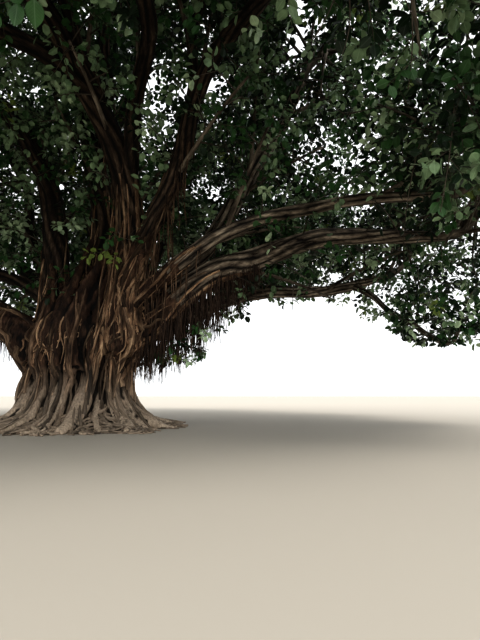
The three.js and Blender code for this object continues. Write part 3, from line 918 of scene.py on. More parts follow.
def grainOf(paths, radii, sides, rng):
    # places on the bark of tubes: round by the radius, along by the length, and shifted at random for each
    angle = ringAngles(sides)
    pace = np.linalg.norm(np.diff(paths, axis=1), axis=2)
    along = np.concatenate([np.zeros((len(paths), 1)), np.cumsum(pace, 1)], 1)[..., None]
    radii = radii[..., None]
    shift = rng.uniform(0, 40, (len(paths), 1, 1))
    places = [np.cos(angle) * radii + shift, np.sin(angle) * radii, 0.25 * along + 0 * angle]
    return np.stack(places, -1).reshape(-1, 3)


def rootPiece(name, paths, radii, sides, bark, shades, nodes=(), seed=1):
    # each root is as light as a hollow of a seeded depth between the two shades
    points, sets = tubeArrays(paths, radii, sides)
    points[:, 2] = np.maximum(points[:, 2], 0.0)
    rng = np.random.default_rng(seed)
    grain = grainOf(paths, radii, sides, rng)
    hollow = np.repeat(rng.uniform(*shades, len(paths)), paths.shape[1] * sides)
    piece = makePiece(name, points, sets, {"grain": grain, "hollow": hollow})
    finishPiece(piece, barks[bark], nodes)
    return piece


def surfaceTrees(names):
    # search trees of the trunk and of the named limbs
    graph = bpy.context.evaluated_depsgraph_get()
    pieces = [*(boughPieces[name] for name in names), *trunkPieces]
    return [BVHTree.FromObject(piece, graph) for piece in pieces]


cordLook = {
    "count": 125,
    "reach": 1.5,
    "top": (0.5, 2.9),
    "radius": (0.014, 0.048),
    "steps": 38,
    "sides": 6,
    "crawl": (100, 0.05),  # steps at most, and metres to a step
    "shades": (-0.25, 0.3),
}


def makeCords(look):
    # thin roots that run close together down the trunk and out along the ground
    rng = np.random.default_rng(19)
    trees = surfaceTrees(())
    paths = []
    for k in range(look["count"]):
        start = spot(goldenAngle * k * 180 / math.pi, look["reach"], rng.uniform(*look["top"]))
        paths.append(rootDown(trees, start, *look["crawl"], crawlLook["wander"][1], look["steps"], rng))
    t = np.linspace(0, 1, look["steps"])[None]
    thick = rng.uniform(*look["radius"], (len(paths), 1)) * (0.4 + 0.6 * swell(t, 2))
    thick = thick * (1 - 0.45 * t**3) * uneven(0.12, 17 * t, len(paths), rng)
    paths = np.array(paths) + unit(np.array(paths) * level) * (0.75 * thick)[..., None]
    return rootPiece("trunk_cords", paths, thick, look["sides"], "cordBark", look["shades"])


# cords that run down a limb and on over the trunk: limb, how many, and least and greatest share of the limb
# at their top
clingingTable = [
    ("stem_front", 16, 0.14, 0.4), ("stem_right", 16, 0.14, 0.4), ("stem_left", 12, 0.1, 0.34),
    ("right", 24, 0.16, 0.5), ("right_low", 12, 0.14, 0.35), ("right_front", 12, 0.12, 0.35),
    ("right_rising", 10, 0.12, 0.4), ("left", 8, 0.16, 0.4), ("stem_back", 8, 0.1, 0.4),
    ("back_left", 6, 0.1, 0.3), ("back_right", 6, 0.1, 0.3),
]
clingingLook = {
    "foot": 0.85,  # metres along the limb at which they leave it
    "off": 1.1,  # share of the limb's radius
    "crawl": (8, 34),  # steps over the trunk
    "radius": (0.011, 0.042),
    "steps": 44,
    "sides": 6,
    "shades": (-0.4, 0.38),
}


def makeClinging(look, table):
    # each runs back along its limb while it turns round it, is laid on the bark, and crawls on over the trunk
    rng = np.random.default_rng(23)
    trees = surfaceTrees([name for name, *_ in table])
    paths, steps = [], look["steps"]
    t = np.linspace(0, 1, 26)
    for name, count, least, most in table:
        run = runs[name]
        for _ in range(count):
            share = rng.uniform(least, most) * (1 - t) + look["foot"] / run["length"] * t
            turn = rng.uniform(*phases) + rng.normal(0, 0.8) * t + 0.14 * np.sin(rng.uniform(4, 10) * t)
            centre = alongLimb(run, share)
            ring = around(*limbFrame(run, centre), turn)
            held = centre + ring * limbRadius(run, share)[:, None] * look["off"]
            upper = np.array([tuple(nearestOn(trees, Vector(point))[0]) for point in held])
            further = int(rng.uniform(*look["crawl"]))
            lower = crawl(crawlLook, trees, upper[-1], further, 0.05, crawlLook["wander"][1], rng)
            paths.append(evenSteps(np.concatenate([upper, lower[1:]]), steps))
    paths = np.array(paths)
    least, more = look["radius"]
    thick = least + more * rng.random((len(paths), 1)) ** 1.8 * np.linspace(0.6, 1.1, steps)[None]
    thick = thick * uneven(0.14, np.arange(steps) * 0.6, len(paths), rng)
    return rootPiece("clinging_roots", paths, thick, look["sides"], "paleRootBark", look["shades"])


# roots that fall from a stem, bridge the hollows and lie on what stands out: stem, how many, least and
# greatest share of it at their top, compass and height of their foot, and radius
drapedTable = [
    ("stem_front", 44, 0.1, 0.36, (-66, -4), (0.35, 1.1), (0.011, 0.04)),
    ("stem_back", 30, 0.06, 0.3, (228, 300), (0.9, 1.7), (0.007, 0.02)),
    ("stem_left", 24, 0.06, 0.28, (200, 262), (0.5, 1.5), (0.008, 0.024)),
    ("stem_right", 18, 0.08, 0.3, (-50, 10), (0.7, 1.6), (0.009, 0.026)),
    ("back", 20, 0.08, 0.25, (60, 140), (0.4, 1.3), (0.01, 0.03)),
    ("back_left", 12, 0.08, 0.25, (120, 190), (0.4, 1.3), (0.01, 0.03)),
]
drapedLook = {
    "footReach": 1.15,
    "steepen": 1.15,
    "wave": (0.02, 0.07),
    "off": 0.6,  # share of the radius at which they lie on the bark
    "steps": 36,
    "sides": 6,
    "shades": (-0.4, 0.38),
}


def makeDraped(look, table):
    # each runs from its stem's side to its foot on the trunk, waves, and is pushed out to lie on the bark
    rng = np.random.default_rng(29)
    trees = surfaceTrees([name for name, *_ in table])
    paths, thick, steps = [], [], look["steps"]
    t = np.linspace(0, 1, steps)[:, None]
    stay = (1 - t) ** look["steepen"]
    for name, count, least, most, compass, heights, girth in table:
        run = runs[name]
        for _ in range(count):
            share = rng.uniform(least, most)
            foot = spot(rng.uniform(*compass), look["footReach"], rng.uniform(*heights))
            foot = np.array(nearestOn(trees, Vector(foot))[0])
            top = alongLimb(run, share)
            away = unit((foot - top) * level + rng.normal(0, 0.25, 3) * level)
            top = top + away * limbRadius(run, share)
            radius = girth[0] + (girth[1] - girth[0]) * rng.random() ** 1.7
            wave = np.sin(rng.uniform(5, 13, 3) * t + rng.uniform(0, 6, 3)) * np.sin(math.pi * t)
            path = top * stay + foot * (1 - stay) + wave * rng.uniform(*look["wave"])
            for k, point in enumerate(path):
                hit, normal, _, _ = nearestOn(trees, Vector(point))
                if (Vector(point) - hit).dot(normal) < radius * look["off"]:
                    path[k] = hit + normal * radius * look["off"]
            paths.append(evenSteps(path, steps))
            thick.append(radius)
    profile = np.linspace(0.7, 1.1, steps) * (1 + 0.15 * np.sin(np.arange(steps) * rng.uniform(0.3, 0.9)))
    thick = np.array(thick)[:, None] * profile
    return rootPiece("draped_roots", np.array(paths), thick, look["sides"], "paleRootBark", look["shades"])


spreadingLook = {
    "count": 200,
    "top": (0.11, 0.24),  # share of the trunk's outline
    "end": (1.06, 1.18),  # share of its radius on the ground
    "turn": 0.5,  # radians to either side, from top to end
    "waves": (0.07, (6, 16)),  # how far sideways, and how many radians of a sine
    "lift": (0.2, 1.2),  # of the radius, off the bark
    "radius": (0.014, 0.04),
    "steps": 22,
    "sides": 5,
    "shades": (-0.3, 0.15),
}


def makeSpreading(look):
    # thin roots that run outwards over the flare and along the ground, crossing one another
    rng = np.random.default_rng(31)
    count = look["count"]
    t = np.linspace(0, 1, look["steps"])[None]
    depth, waves = look["waves"]
    compass = rng.uniform(0, fullTurn, (count, 1)) + rng.uniform(-look["turn"], look["turn"], (count, 1)) * t
    compass = compass + depth * np.sin(rng.uniform(*waves, (count, 1)) * t + rng.uniform(0, 6, (count, 1)))
    share = rng.uniform(*look["top"], (count, 1)) * (1 - t)
    radius, height = outlineAt(trunkLook, share)
    outer = rng.uniform(*look["end"], (count, 1))
    radius = radius * fluteAt(trunkLook, compass, height) * (1 + (outer - 1) * t)
    thick = rng.uniform(*look["radius"], (count, 1)) * (1.1 - 0.5 * t)
    height = height + thick * rng.uniform(*look["lift"], (count, 1)) * (1 - 0.6 * t)
    paths = polar(compass, radius, height)
    return rootPiece("spreading_roots", paths, thick, look["sides"], "cordBark", look["shades"])


fineRoots = {"radius": (0.004, 0.011), "bark": "fineRootBark", "leafy": 0.1}
stoutRoots = {"radius": (0.007, 0.017), "bark": "cordBark", "leafy": 0}
# stretches of limbs with roots that hang below: limb, from, to, strands, longest fall, kind, and the node
# that they replace
curtains = [
    ("right", 0.08, 0.5, 620, 1.5, fineRoots, ["hanging_roots_right"]),
    ("right_low", 0.06, 0.4, 320, 1.2, fineRoots, []),
    ("left", 0.12, 0.55, 210, 1.0, fineRoots, ["hanging_roots_left"]),
    ("back_left", 0.2, 0.45, 120, 1.1, fineRoots, ["hanging_roots_back"]),
    ("stem_front", 0.14, 0.42, 44, 1.5, stoutRoots, ["hanging_roots_front"]),
    ("stem_right", 0.12, 0.5, 60, 1.7, stoutRoots, []),
    ("stem_back", 0.15, 0.5, 40, 1.6, stoutRoots, []),
    ("stem_left", 0.12, 0.4, 24, 1.3, stoutRoots, []),
    ("right_rising", 0.14, 0.45, 22, 1.1, stoutRoots, []),
    ("right_front", 0.08, 0.35, 26, 0.9, stoutRoots, []),
    ("back_right", 0.15, 0.4, 80, 0.9, fineRoots, []),
]
curtainLook = {
    "round": 1.1,  # radians to either side of the limb's underside
    "shortest": 0.35,  # share of the longest fall
    "foot": 0.25,  # metres that stay free above the ground
    "sway": 0.06,
    "waves": (0.35, (3, 9)),  # share of the sway, and how many radians of a sine
    "off": 0.9,  # of the limb's radius
    "fade": 0.4,  # share of its fall that a strand keeps at the ends of the stretch
    "steps": 8,
    "sides": 4,
    "taper": (1.1, 0.45),
    "shades": (-0.3, 0.2),
    "leafyPart": [4, 6, 7],  # the steps of a strand between which it bears leaves
}


def hangingPaths(look, tops, fall, rng):
    # strands that fall from their tops, drifting sideways more the further they hang
    count, sway = len(tops), look["sway"]
    t = np.linspace(0, 1, look["steps"])[None, :, None]
    lean = rng.normal(0, sway, (count, 1, 2)) * t
    depth, waves = look["waves"]
    wave = np.sin(rng.uniform(*waves, (count, 1, 2)) * t + rng.uniform(0, 6, (count, 1, 2))) * t
    side = (lean + depth * sway * wave) * fall[:, None, None]
    return tops[:, None] + np.concatenate([side, -fall[:, None, None] * t], -1)


def makeCurtains(look, table):
    # strands from the underside of each stretch, longest in its middle; gives the parts that bear leaves
    rng = np.random.default_rng(41)
    leafyEnds, leafyOwners = [], []
    for name, start, end, count, longest, kind, nodes in table:
        run = runs[name]
        share = rng.uniform(start, end, count)
        tops = alongLimb(run, share)
        off = limbRadius(run, share)
        turn = rng.uniform(-look["round"], look["round"], count)
        aside = [run["across"][k] * np.sin(turn) * off for k in range(2)]
        tops = tops + np.stack([*aside, -np.cos(turn) * off * look["off"]], -1)
        fade = look["fade"] + (1 - look["fade"]) * np.sin(math.pi * (share - start) / (end - start))
        fall = longest * rng.uniform(look["shortest"], 1.0, count) * fade
        fall = np.minimum(fall, tops[:, 2] - look["foot"])
        paths = hangingPaths(look, tops, fall, rng)
        radii = rng.uniform(*kind["radius"], (count, 1)) * np.linspace(*look["taper"], look["steps"])[None]
        rootPiece("curtain_" + name, paths, radii, look["sides"], kind["bark"], look["shades"], nodes, count)
        leafy = rng.random(count) < kind["leafy"]
        leafyEnds.append(paths[leafy][:, look["leafyPart"]])
        leafyOwners.append(np.full(leafy.sum(), run["index"]))
    return np.concatenate(leafyEnds), np.concatenate(leafyOwners)


makeCords(cordLook)
makeClinging(clingingLook, clingingTable)
makeDraped(drapedLook, drapedTable)
makeSpreading(spreadingLook)
leafyRoots = makeCurtains(curtainLook, curtains)
print("aerial roots made")


# foliage: stem, branches, side branches and sprays, each level by the same rule
crownLook = {
    "dome": (12.48, 0.055, 10.02),  # the crown's top, its fall for each square metre of reach, and its reach
    "bottom": 0.35,  # metres above the ground, of the masses
    "innerBottom": 2.3,  # and of the shoots along the limbs
    "ground": 0.8,  # lowest leaves
    "skin": 1.02,  # share of a mass's ellipsoid that its sprays may fill
    "stemBack": 0.06,  # metres that a stem starts inside its limb
    "branches": 14,
    "branchFrom": (0.3, 0.65),  # share of the stem where they start, and over which they spread
    "branchTurn": 1.1,  # from one mass to the next
    "branchEnds": (0.74, 0.64, 0.54, 0.44, 0.34),  # shares of a mass that a branch tries to reach
    "branchKnee": 0.14,
    "branchThick": 0.42,
    "jitter": 0.8,
    "lengths": (0.7, 1.2),
    "slim": (0.03, 0.002),  # a shoot is no thicker than this share of its length, and this more
    "shortenings": (1.0, 0.72, 0.45),  # shares of its length at which a shoot is tried
    "clearBefore": 5.2,  # metres from the camera within which branches and shoots make way at the openings
    # nearest and furthest of the hanging sprays that stay in openings, and shares right and left of a pixel
    "overhead": (4.2, 8.5, 200, 0.1, 0.4),
    "beforeLimbs": (0.45, 5),  # share that stays in front of shown limbs, and pixels beside them
    "limbView": (36, 0.5, 0.15),  # points along a shown limb, its least distance, and metres before it
    "leafyRoot": 0.008,
    "twigThick": 0.0035,
    # points along each kind of tube, sides, and share of its thickness at its tip
    "tubes": {
        "stems": (9, 10, 0.4), "branches": (8, 6, 0.4), "boughs": (10, 8, 0.4), "sides": (4, 3, 0.35),
        "inner": (4, 3, 0.35), "hung": (8, 4, 0.4), "twigs": (2, 3, 0.4),
    },
}


def massTable():
    # for each limb its mass's middle, and how wide and how tall its ellipsoid is
    rows = []
    for run in runs.values():
        ring = run["ring"]
        rows.append((*spot(run["toward"], *ring["middle"]), ring["across"], ring["tall"]))
    return np.array(rows)


masses = massTable()


def depthIn(points):
    # how deep in each mass's ellipsoid every point lies: 0 in its middle and 1 on its skin
    gap = points[:, None] - masses[None, :, :3]
    flat = np.linalg.norm(gap[..., :2], axis=-1) / masses[:, 3]
    return np.hypot(flat, gap[..., 2] / masses[:, 4])


def underDome(points, bottom):
    # lower than the top less its fall * reach squared, within the dome's reach, and above the bottom
    top, fall, side = crownLook["dome"]
    reach = np.hypot(points[:, 0], points[:, 1])
    return (points[:, 2] < top - fall * reach**2) & (reach < side) & (points[:, 2] > bottom)


def within(owner, points, skin=crownLook["skin"]):
    # inside the owner's ellipsoid, nearer to its middle than to any other mass's, and under the crown's dome
    depth = depthIn(points)
    rows = np.arange(len(points))
    own = depth[rows, owner]
    depth[rows, owner] = np.inf
    return (own < skin) & (depth.min(1) > own) & underDome(points, crownLook["bottom"])


def inCrown(_, points):
    # under the crown's dome, clear of the ground, whatever mass it is in
    return underDome(points, crownLook["innerBottom"])


def offGround(_, points):
    # higher than the lowest leaves
    return points[:, 2] > crownLook["ground"]


always = (0.0, 60.0)
# where the view shows open places or bare boughs: left, top, right and bottom of the place in the picture,
# the nearest and furthest distance that it holds for, and the share of sprays that stay
openings = [
    ((-40, -40, 520, 430), (0.0, 4.2), 0.03),
    ((-40, -40, 220, 430), (4.2, 6.0), 0.25),
    ((220, -40, 520, 250), (4.2, 5.2), 0.03),
    ((220, -40, 450, 250), (5.2, 6.8), 0.25),
    ((300, 60, 520, 185), (8.8, 60.0), 0.68),
    ((190, -40, 330, 120), (10.0, 60.0), 0.75),
    ((-40, -40, 230, 300), (11.5, 60.0), 0.62),
    ((-40, -40, 230, 300), (6.0, 11.5), 0.7),
    ((340, 190, 520, 300), (4.0, 8.8), 0.2),
    ((345, 185, 520, 300), (8.8, 60.0), 0.55),
    ((366, 286, 520, 356), always, 0.75),
    ((250, 300, 360, 318), always, 0.2),
    ((250, 318, 360, 420), always, 0.01),
    ((360, 318, 372, 420), always, 0.1),
    ((100, 363, 250, 420), always, 0.0),
    ((180, 296, 250, 350), always, 0.4),
    ((368, 345, 520, 420), always, 0.0),
    ((-40, 335, 34, 420), always, 0.0),
    ((34, 300, 48, 326), always, 0.1),
    ((136, 65, 158, 84), always, 0.2),
    ((18, 255, 46, 275), always, 0.3),
]


def inPicture(points):
    # each point's place in the picture, middle + focal * gap / distance, and its distance along the lens
    climb = math.radians(viewLook["climb"])
    wide, high = viewLook["picture"]
    focal = viewLook["focal"]
    gap = points - np.array(viewLook["place"])
    deep = gap @ np.array([0, math.cos(climb), math.sin(climb)])
    rise = gap @ np.array([0, -math.sin(climb), math.cos(climb)])
    safe = np.maximum(deep, viewLook["nearest"])
    return wide / 2 + focal * gap[:, 0] / safe, high / 2 - focal * rise / safe, deep


def inView(points, further, far):
    # true for points nearer than far whose place is within the picture or that much outside it
    x, y, deep = inPicture(points)
    wide, high = viewLook["picture"]
    beside = (np.abs(x - wide / 2) < wide / 2 + further[0]) & (np.abs(y - high / 2) < high / 2 + further[1])
    return beside & (deep > 0) & (deep < far)


def opened(points, rng):
    # true for points that an opening takes away
    x, y, deep = inPicture(points)
    chance = rng.random(len(points))
    gone = np.zeros(len(points), bool)
    for (left, top, right, bottom), (near, far), kept in openings:
        held = (x > left) & (x < right) & (y > top) & (y < bottom)
        gone |= held & (deep > max(near, viewLook["nearest"])) & (deep < far) & (chance > kept)
    return gone


# limbs that show from the camera's place: name, and first and last share of their length in view
shownLimbs = [
    ("stem_front", 0.0, 0.85), ("front_left", 0.1, 0.5), ("stem_right", 0.42, 0.8), ("stem_left", 0.0, 0.3),
    ("right_rising", 0.1, 0.75), ("right_front", 0.05, 0.85), ("right", 0.0, 0.9), ("right_low", 0.0, 0.9),
    ("left", 0.0, 0.6), ("left_back", 0.2, 0.8), ("right_droop", 0.0, 0.9),
]


def beforeLimbs(points, kept, margin, rng):
    # true for points that hide one of the shown limbs from the camera, but for the share that is kept
    x, y, deep = inPicture(points)
    hides = np.zeros(len(points), bool)
    steps, nearest, before = crownLook["limbView"]
    for name, first, last in shownLimbs:
        share = np.linspace(first, last, steps)
        across, down, away = inPicture(alongLimb(runs[name], share))
        half = viewLook["focal"] * limbRadius(runs[name], share) / np.maximum(away, nearest) + margin
        gap = np.hypot(x[:, None] - across, y[:, None] - down)
        ahead = (deep[:, None] < away - before) & (deep[:, None] > viewLook["nearest"])
        hides |= ((gap < half) & ahead).any(1)
    return hides & (rng.random(len(points)) > kept)


def bend(controls, t):
    # for each row of three controls the quadratic curve's points at its own values of t
    return bow(controls.transpose(1, 0, 2)[:, :, None], t[..., None])


def courseOf(controls, t):
    # the direction of that curve: 2 (1 - t) (b - a) + 2 t (c - b), over its length
    a, b, c = controls.transpose(1, 0, 2)[:, :, None]
    t = t[..., None]
    return unit(2 * (1 - t) * (b - a) + 2 * t * (c - b))


def joinRows(*groups):
    # several (controls, owners, thick) as one
    return tuple(np.concatenate(arrays) for arrays in zip(*groups))


def chooseRows(group, chosen):
    # the chosen rows of each array
    return tuple(array[chosen] for array in group)


def aroundCourse(course, count, rng):
    # for each parent a first direction at random, and each other one a golden angle further round its course
    turn = np.arange(count)[None] * goldenAngle + rng.uniform(*phases, (len(course), 1))
    flat = unit(np.cross(course, upward + 0.01))
    return around(flat, np.cross(course, flat), turn)


def shootsFrom(parents, look, rng, allowed=within):
    # children leave a parent alternately by the golden angle, lean on with it and outwards, and are shortened
    # or left out where they would leave their mass
    controls, owner, thick = parents
    count, number = look["count"], len(controls)
    first, last = look["along"]
    order = np.arange(count)[None] + rng.uniform(0, crownLook["jitter"], (number, count))
    t = first + (last - first) * order / count
    base = bend(controls, t)
    course = courseOf(controls, t)
    side = aroundCourse(course, count, rng)
    outward = unit(base - masses[owner, :3][:, None])
    way = side * look["side"] + course * look["onward"] + outward * look["outward"] + upward * look["lift"]
    length = look["length"] * rng.uniform(*crownLook["lengths"], (number, count)) * (1 - look["taper"] * t)
    base, way, length = base.reshape(-1, 3), unit(way).reshape(-1, 3), length.ravel()
    owners = np.repeat(owner, count)
    fits = np.zeros(len(base), bool)
    for share in crownLook["shortenings"]:
        test = ~fits
        fits[test] = allowed(owners[test], (base + way * (length * share)[:, None])[test])
        length = np.where(test & fits, length * share, length)
    end = base + way * length[:, None]
    middle = (base + end) / 2 + upward * (length * look["sag"])[:, None]
    share, more = crownLook["slim"]
    size = np.minimum(np.repeat(thick, count) * look["thin"], length * share + more)
    return np.stack([base, middle, end], 1)[fits], owners[fits], size[fits]


def growBranches(look):
    # a stem from each limb's tip to its mass's middle, and branches from the stem to spots on a golden-angle
    # spiral over the ellipsoid, each as far out as the mass allows
    stems, branches, owners, thick = [], [], [], []
    first, spread = look["branchFrom"]
    for run in runs.values():
        index = run["index"]
        middle, across, tall = masses[index, :3], masses[index, 3], masses[index, 4]
        tip = alongLimb(run, 1.0)
        course = unit(tip - alongLimb(run, 0.995))
        hold = tip + course * np.linalg.norm(middle - tip) * 0.5
        stem = np.array([tip - course * look["stemBack"], hold, middle])
        stems.append(stem)
        count = look["branches"] if across > 2 else look["branches"] // 2
        for k in range(count):
            rise = 1 - 2 * (k + 0.5) / count
            turn = k * goldenAngle + index * look["branchTurn"]
            flat = math.sqrt(1 - rise * rise)
            aim = np.array([math.cos(turn) * flat * across, math.sin(turn) * flat * across, rise * tall])
            ends = middle + aim * np.array(look["branchEnds"])[:, None]
            fits = within(np.full(len(ends), index), ends)
            if not fits.any():
                continue
            begin = bend(stem[None], np.array([[first + spread * k / count]]))[0, 0]
            end = ends[fits.argmax()]
            knee = (begin + end) / 2 + upward * np.linalg.norm(end - begin) * look["branchKnee"]
            branches.append(np.array([begin, knee, end]))
            owners.append(index)
            thick.append(run["thick"][1] * look["branchThick"])
    stemThick = np.array([run["thick"][1] for run in runs.values()])
    return (np.array(stems), None, stemThick), (np.array(branches), np.array(owners), np.array(thick))


# what leaves a parent: how many, between which shares of it, how its direction mixes side, onward, outward
# and lift, its length, how much shorter it is at the parent's end, its sag, and its thickness to the parent's
sideLook = {
    "count": 7, "along": (0.2, 1.0), "side": 1.0, "onward": 0.55, "outward": 0.35, "lift": 0.05,
    "length": 1.25, "taper": 0.3, "sag": 0.08, "thin": 0.5,
}
sprayLook = {
    "count": 6, "along": (0.15, 1.0), "side": 0.9, "onward": 0.6, "outward": 0.3, "lift": 0.05,
    "length": 0.6, "taper": 0.2, "sag": 0.05, "thin": 0.45,
}
fillSideLook = {**sideLook, "count": 9, "length": 1.15}
innerSideLook = {**sideLook, "count": 5, "length": 0.75, "lift": 0.0}
innerSprayLook = {**sprayLook, "count": 5, "length": 0.55}
hangSprayLook = {**sprayLook, "count": 5, "along": (0.5, 1.0), "length": 0.4, "outward": 0.0, "lift": -0.1}
curtainSprayLook = {**hangSprayLook, "count": 1, "along": (0.4, 1.0), "length": 0.24, "lift": -0.2}
# along the limbs: metres between shoots, the share of the limb they start from, their length, thickness, lean
# and sag, the distance from the camera past which they grow, and limbs with more of them
innerLook = {
    "spacing": 0.3, "from": 0.13, "length": (0.5, 1.5), "thick": 0.014, "onward": 0.45, "sag": 0.12,
    "clear": 0.0, "lift": 0.2, "off": 0.9, "grow": (0.6, 0.6),
    "leafier": {"stem_left": 2.6, "shoulder_front_left": 2.0, "stem_back": 1.5, "upper_left": 1.5},
}
sideBoughLook = {
    **innerLook, "spacing": 0.8, "from": 0.28, "length": (1.6, 3.0), "thick": 0.05, "onward": 1.2,
    "sag": 0.07, "clear": 6.5, "leafier": {},
}
# the crown is looked over at many spots, and a bough grows to each that has too few sprays around it
fillLook = {
    "top": (170, 2.6, 8.8, 1.1),  # how many, least and greatest reach, and metres below the dome
    # how many, reach, and least and greatest height
    "rings": [(40, 8.5, 4.8, 6.4), (26, 6.5, 4.4, 6.6), (30, 4.9, 4.4, 6.2), (20, 3.6, 4.8, 6.6)],
    "always": [(8.4, -1.9, 7.1), (-1.4, -5.3, 4.5), (-3.4, -6.1, 4.0)],  # spots that get one in any case
    "along": (0.5, 1, 20),  # shares of a limb between which a bough may start, and at how many places
    "around": 1.15,  # metres within which sprays are counted
    "few": 20,
    "knee": 0.2,
    "thick": 0.045,
    "clear": 12.0,  # none to spots in view nearer than this
    "beyond": (22, 80),  # pixels by which the view counts as wider and higher than the picture
}
hangLook = {
    "from": ("stem_front", "front_left", "front_right", "stem_right", "right_front", "shoulder_front"),
    "each": 2,
    "along": (0.35, 1.0),  # share of the branch
    "fall": (0.9, 2.3),
    "least": 0.5,
    "drift": 0.22,
    "bulge": 0.12,
    "thick": 0.011,
}


def innerShoots(look, rng):
    # leafy shoots along the limbs themselves: they leave the bark sideways and lean on with the limb
    controls, owners = [], []
    for run in runs.values():
        first = look["from"]
        count = int(run["length"] * (1 - first) / look["spacing"] * look["leafier"].get(run["name"], 1))
        share = first + (1 - first) * (np.arange(count) + rng.random(count)) / count
        centre = alongLimb(run, share)
        ahead, behind = (alongLimb(run, np.clip(share + step, 0, 1)) for step in (0.01, -0.01))
        course = unit(ahead - behind)
        side = around(run["across"], np.cross(course, run["across"]), rng.uniform(*phases, count))
        way = unit(side + look["onward"] * course + look["lift"] * upward)
        short, more = look["grow"]
        length = rng.uniform(*look["length"], count) * (short + more * share)
        base = centre + side * (limbRadius(run, share) * look["off"])[:, None]
        sag = upward * (look["sag"] * length)[:, None]
        end = base + way * length[:, None] - sag
        controls.append(np.stack([base, (base + end) / 2 + sag, end], 1))
        owners.append(np.full(count, run["index"]))
    controls, owners = np.concatenate(controls), np.concatenate(owners)
    ends = controls[:, 2]
    deep = inPicture(ends)[2]
    fits = inCrown(owners, ends) & ~opened(ends, rng) & ((deep > look["clear"]) | (deep < 0))
    return controls[fits], owners[fits], np.full(fits.sum(), look["thick"])


def hangingShoots(look, branches, owners, rng):
    # long thin shoots that hang from the branches of the masses over the camera, drifting as they fall
    over = [runs[name]["index"] for name in look["from"]]
    chosen = np.repeat(np.flatnonzero(np.isin(owners, over)), look["each"])
    number = len(chosen)
    top = bend(branches[chosen], rng.uniform(*look["along"], (number, 1)))[:, 0]
    fall = np.minimum(rng.uniform(*look["fall"], number), top[:, 2] - crownLook["innerBottom"])[:, None]
    drift = rng.normal(0, look["drift"], (number, 2)) * fall
    end = top + np.concatenate([drift, -fall], 1)
    bulge = rng.normal(0, look["bulge"], (number, 2)) * fall
    knee = (top + end) / 2 + np.concatenate([bulge, 0 * fall], 1)
    fits = (fall[:, 0] > look["least"]) & inCrown(owners[chosen], end)
    fits &= (inPicture(knee)[2] > crownLook["clearBefore"]) & ~opened(knee, rng)
    return np.stack([top, knee, end], 1)[fits], owners[chosen][fits], np.full(fits.sum(), look["thick"])


def crownSpots(look):
    # spots on golden-angle spirals: one evenly spread under the dome, and one at each ring's reach
    top, fall, _ = crownLook["dome"]
    count, first, last, under = look["top"]
    reach = np.sqrt(np.linspace(first**2, last**2, count))
    spirals = [(reach, top - fall * reach**2 - under)]
    for count, reach, low, high in look["rings"]:
        spirals.append((np.full(count, reach), np.linspace(low, high, count)))
    spots = [polar(np.arange(len(reach)) * goldenAngle, reach, height) for reach, height in spirals]
    return np.concatenate(spots)


def fillingBoughs(look, sprays):
    # boughs that rise from the nearest limb to thin places of the crown's shell, away from the near view
    share = np.linspace(*look["along"])
    bases = np.concatenate([alongLimb(run, share) for run in runs.values()])
    indices = np.repeat([run["index"] for run in runs.values()], len(share))
    spots = crownSpots(look)
    spots = spots[~inView(spots, look["beyond"], look["clear"])]
    placed = sprays[:, 2]
    controls, owners = [], []
    for number, end in enumerate(np.concatenate([look["always"], spots])):
        beside = (np.linalg.norm(placed - end, axis=1) < look["around"]).sum()
        if number >= len(look["always"]) and beside > look["few"]:
            continue
        nearest = np.linalg.norm(bases - end, axis=1).argmin()
        base = bases[nearest]
        knee = (base + end) / 2 + unit(end * level) * look["knee"] * np.linalg.norm(end - base)
        controls.append([base, knee, end])
        owners.append(indices[nearest])
        placed = np.concatenate([placed, np.repeat(end[None], look["few"], axis=0)])
    print(len(controls), "boughs into thin places")
    return np.array(controls), np.array(owners), np.full(len(owners), look["thick"])


def bentTubes(group, steps, sides, tipShare):
    # tubes along the curves, each thinning evenly to a share of its thickness
    controls, _, thick = group
    t = np.linspace(0, 1, steps)[None] + np.zeros((len(controls), 1))
    return bend(controls, t), thick[:, None] * (1 - (1 - tipShare) * t), sides


def twigPiece(name, groups, bark="twigBark"):
    # tubes of several groups as one piece, its faces sorted by their number of corners
    rng = np.random.default_rng(5)
    points, sets = joined([tubeArrays(*tubes) for tubes in groups])
    grain = np.concatenate([grainOf(*tubes, rng) for tubes in groups])
    bySize = {}
    for faces in sets:
        bySize.setdefault(faces.shape[1], []).append(faces)
    sets = [np.concatenate(faces) for faces in bySize.values()]
    piece = makePiece(name, points, sets, {"grain": grain, "hollow": np.zeros(len(points))})
    finishPiece(piece, barks[bark])
    return piece


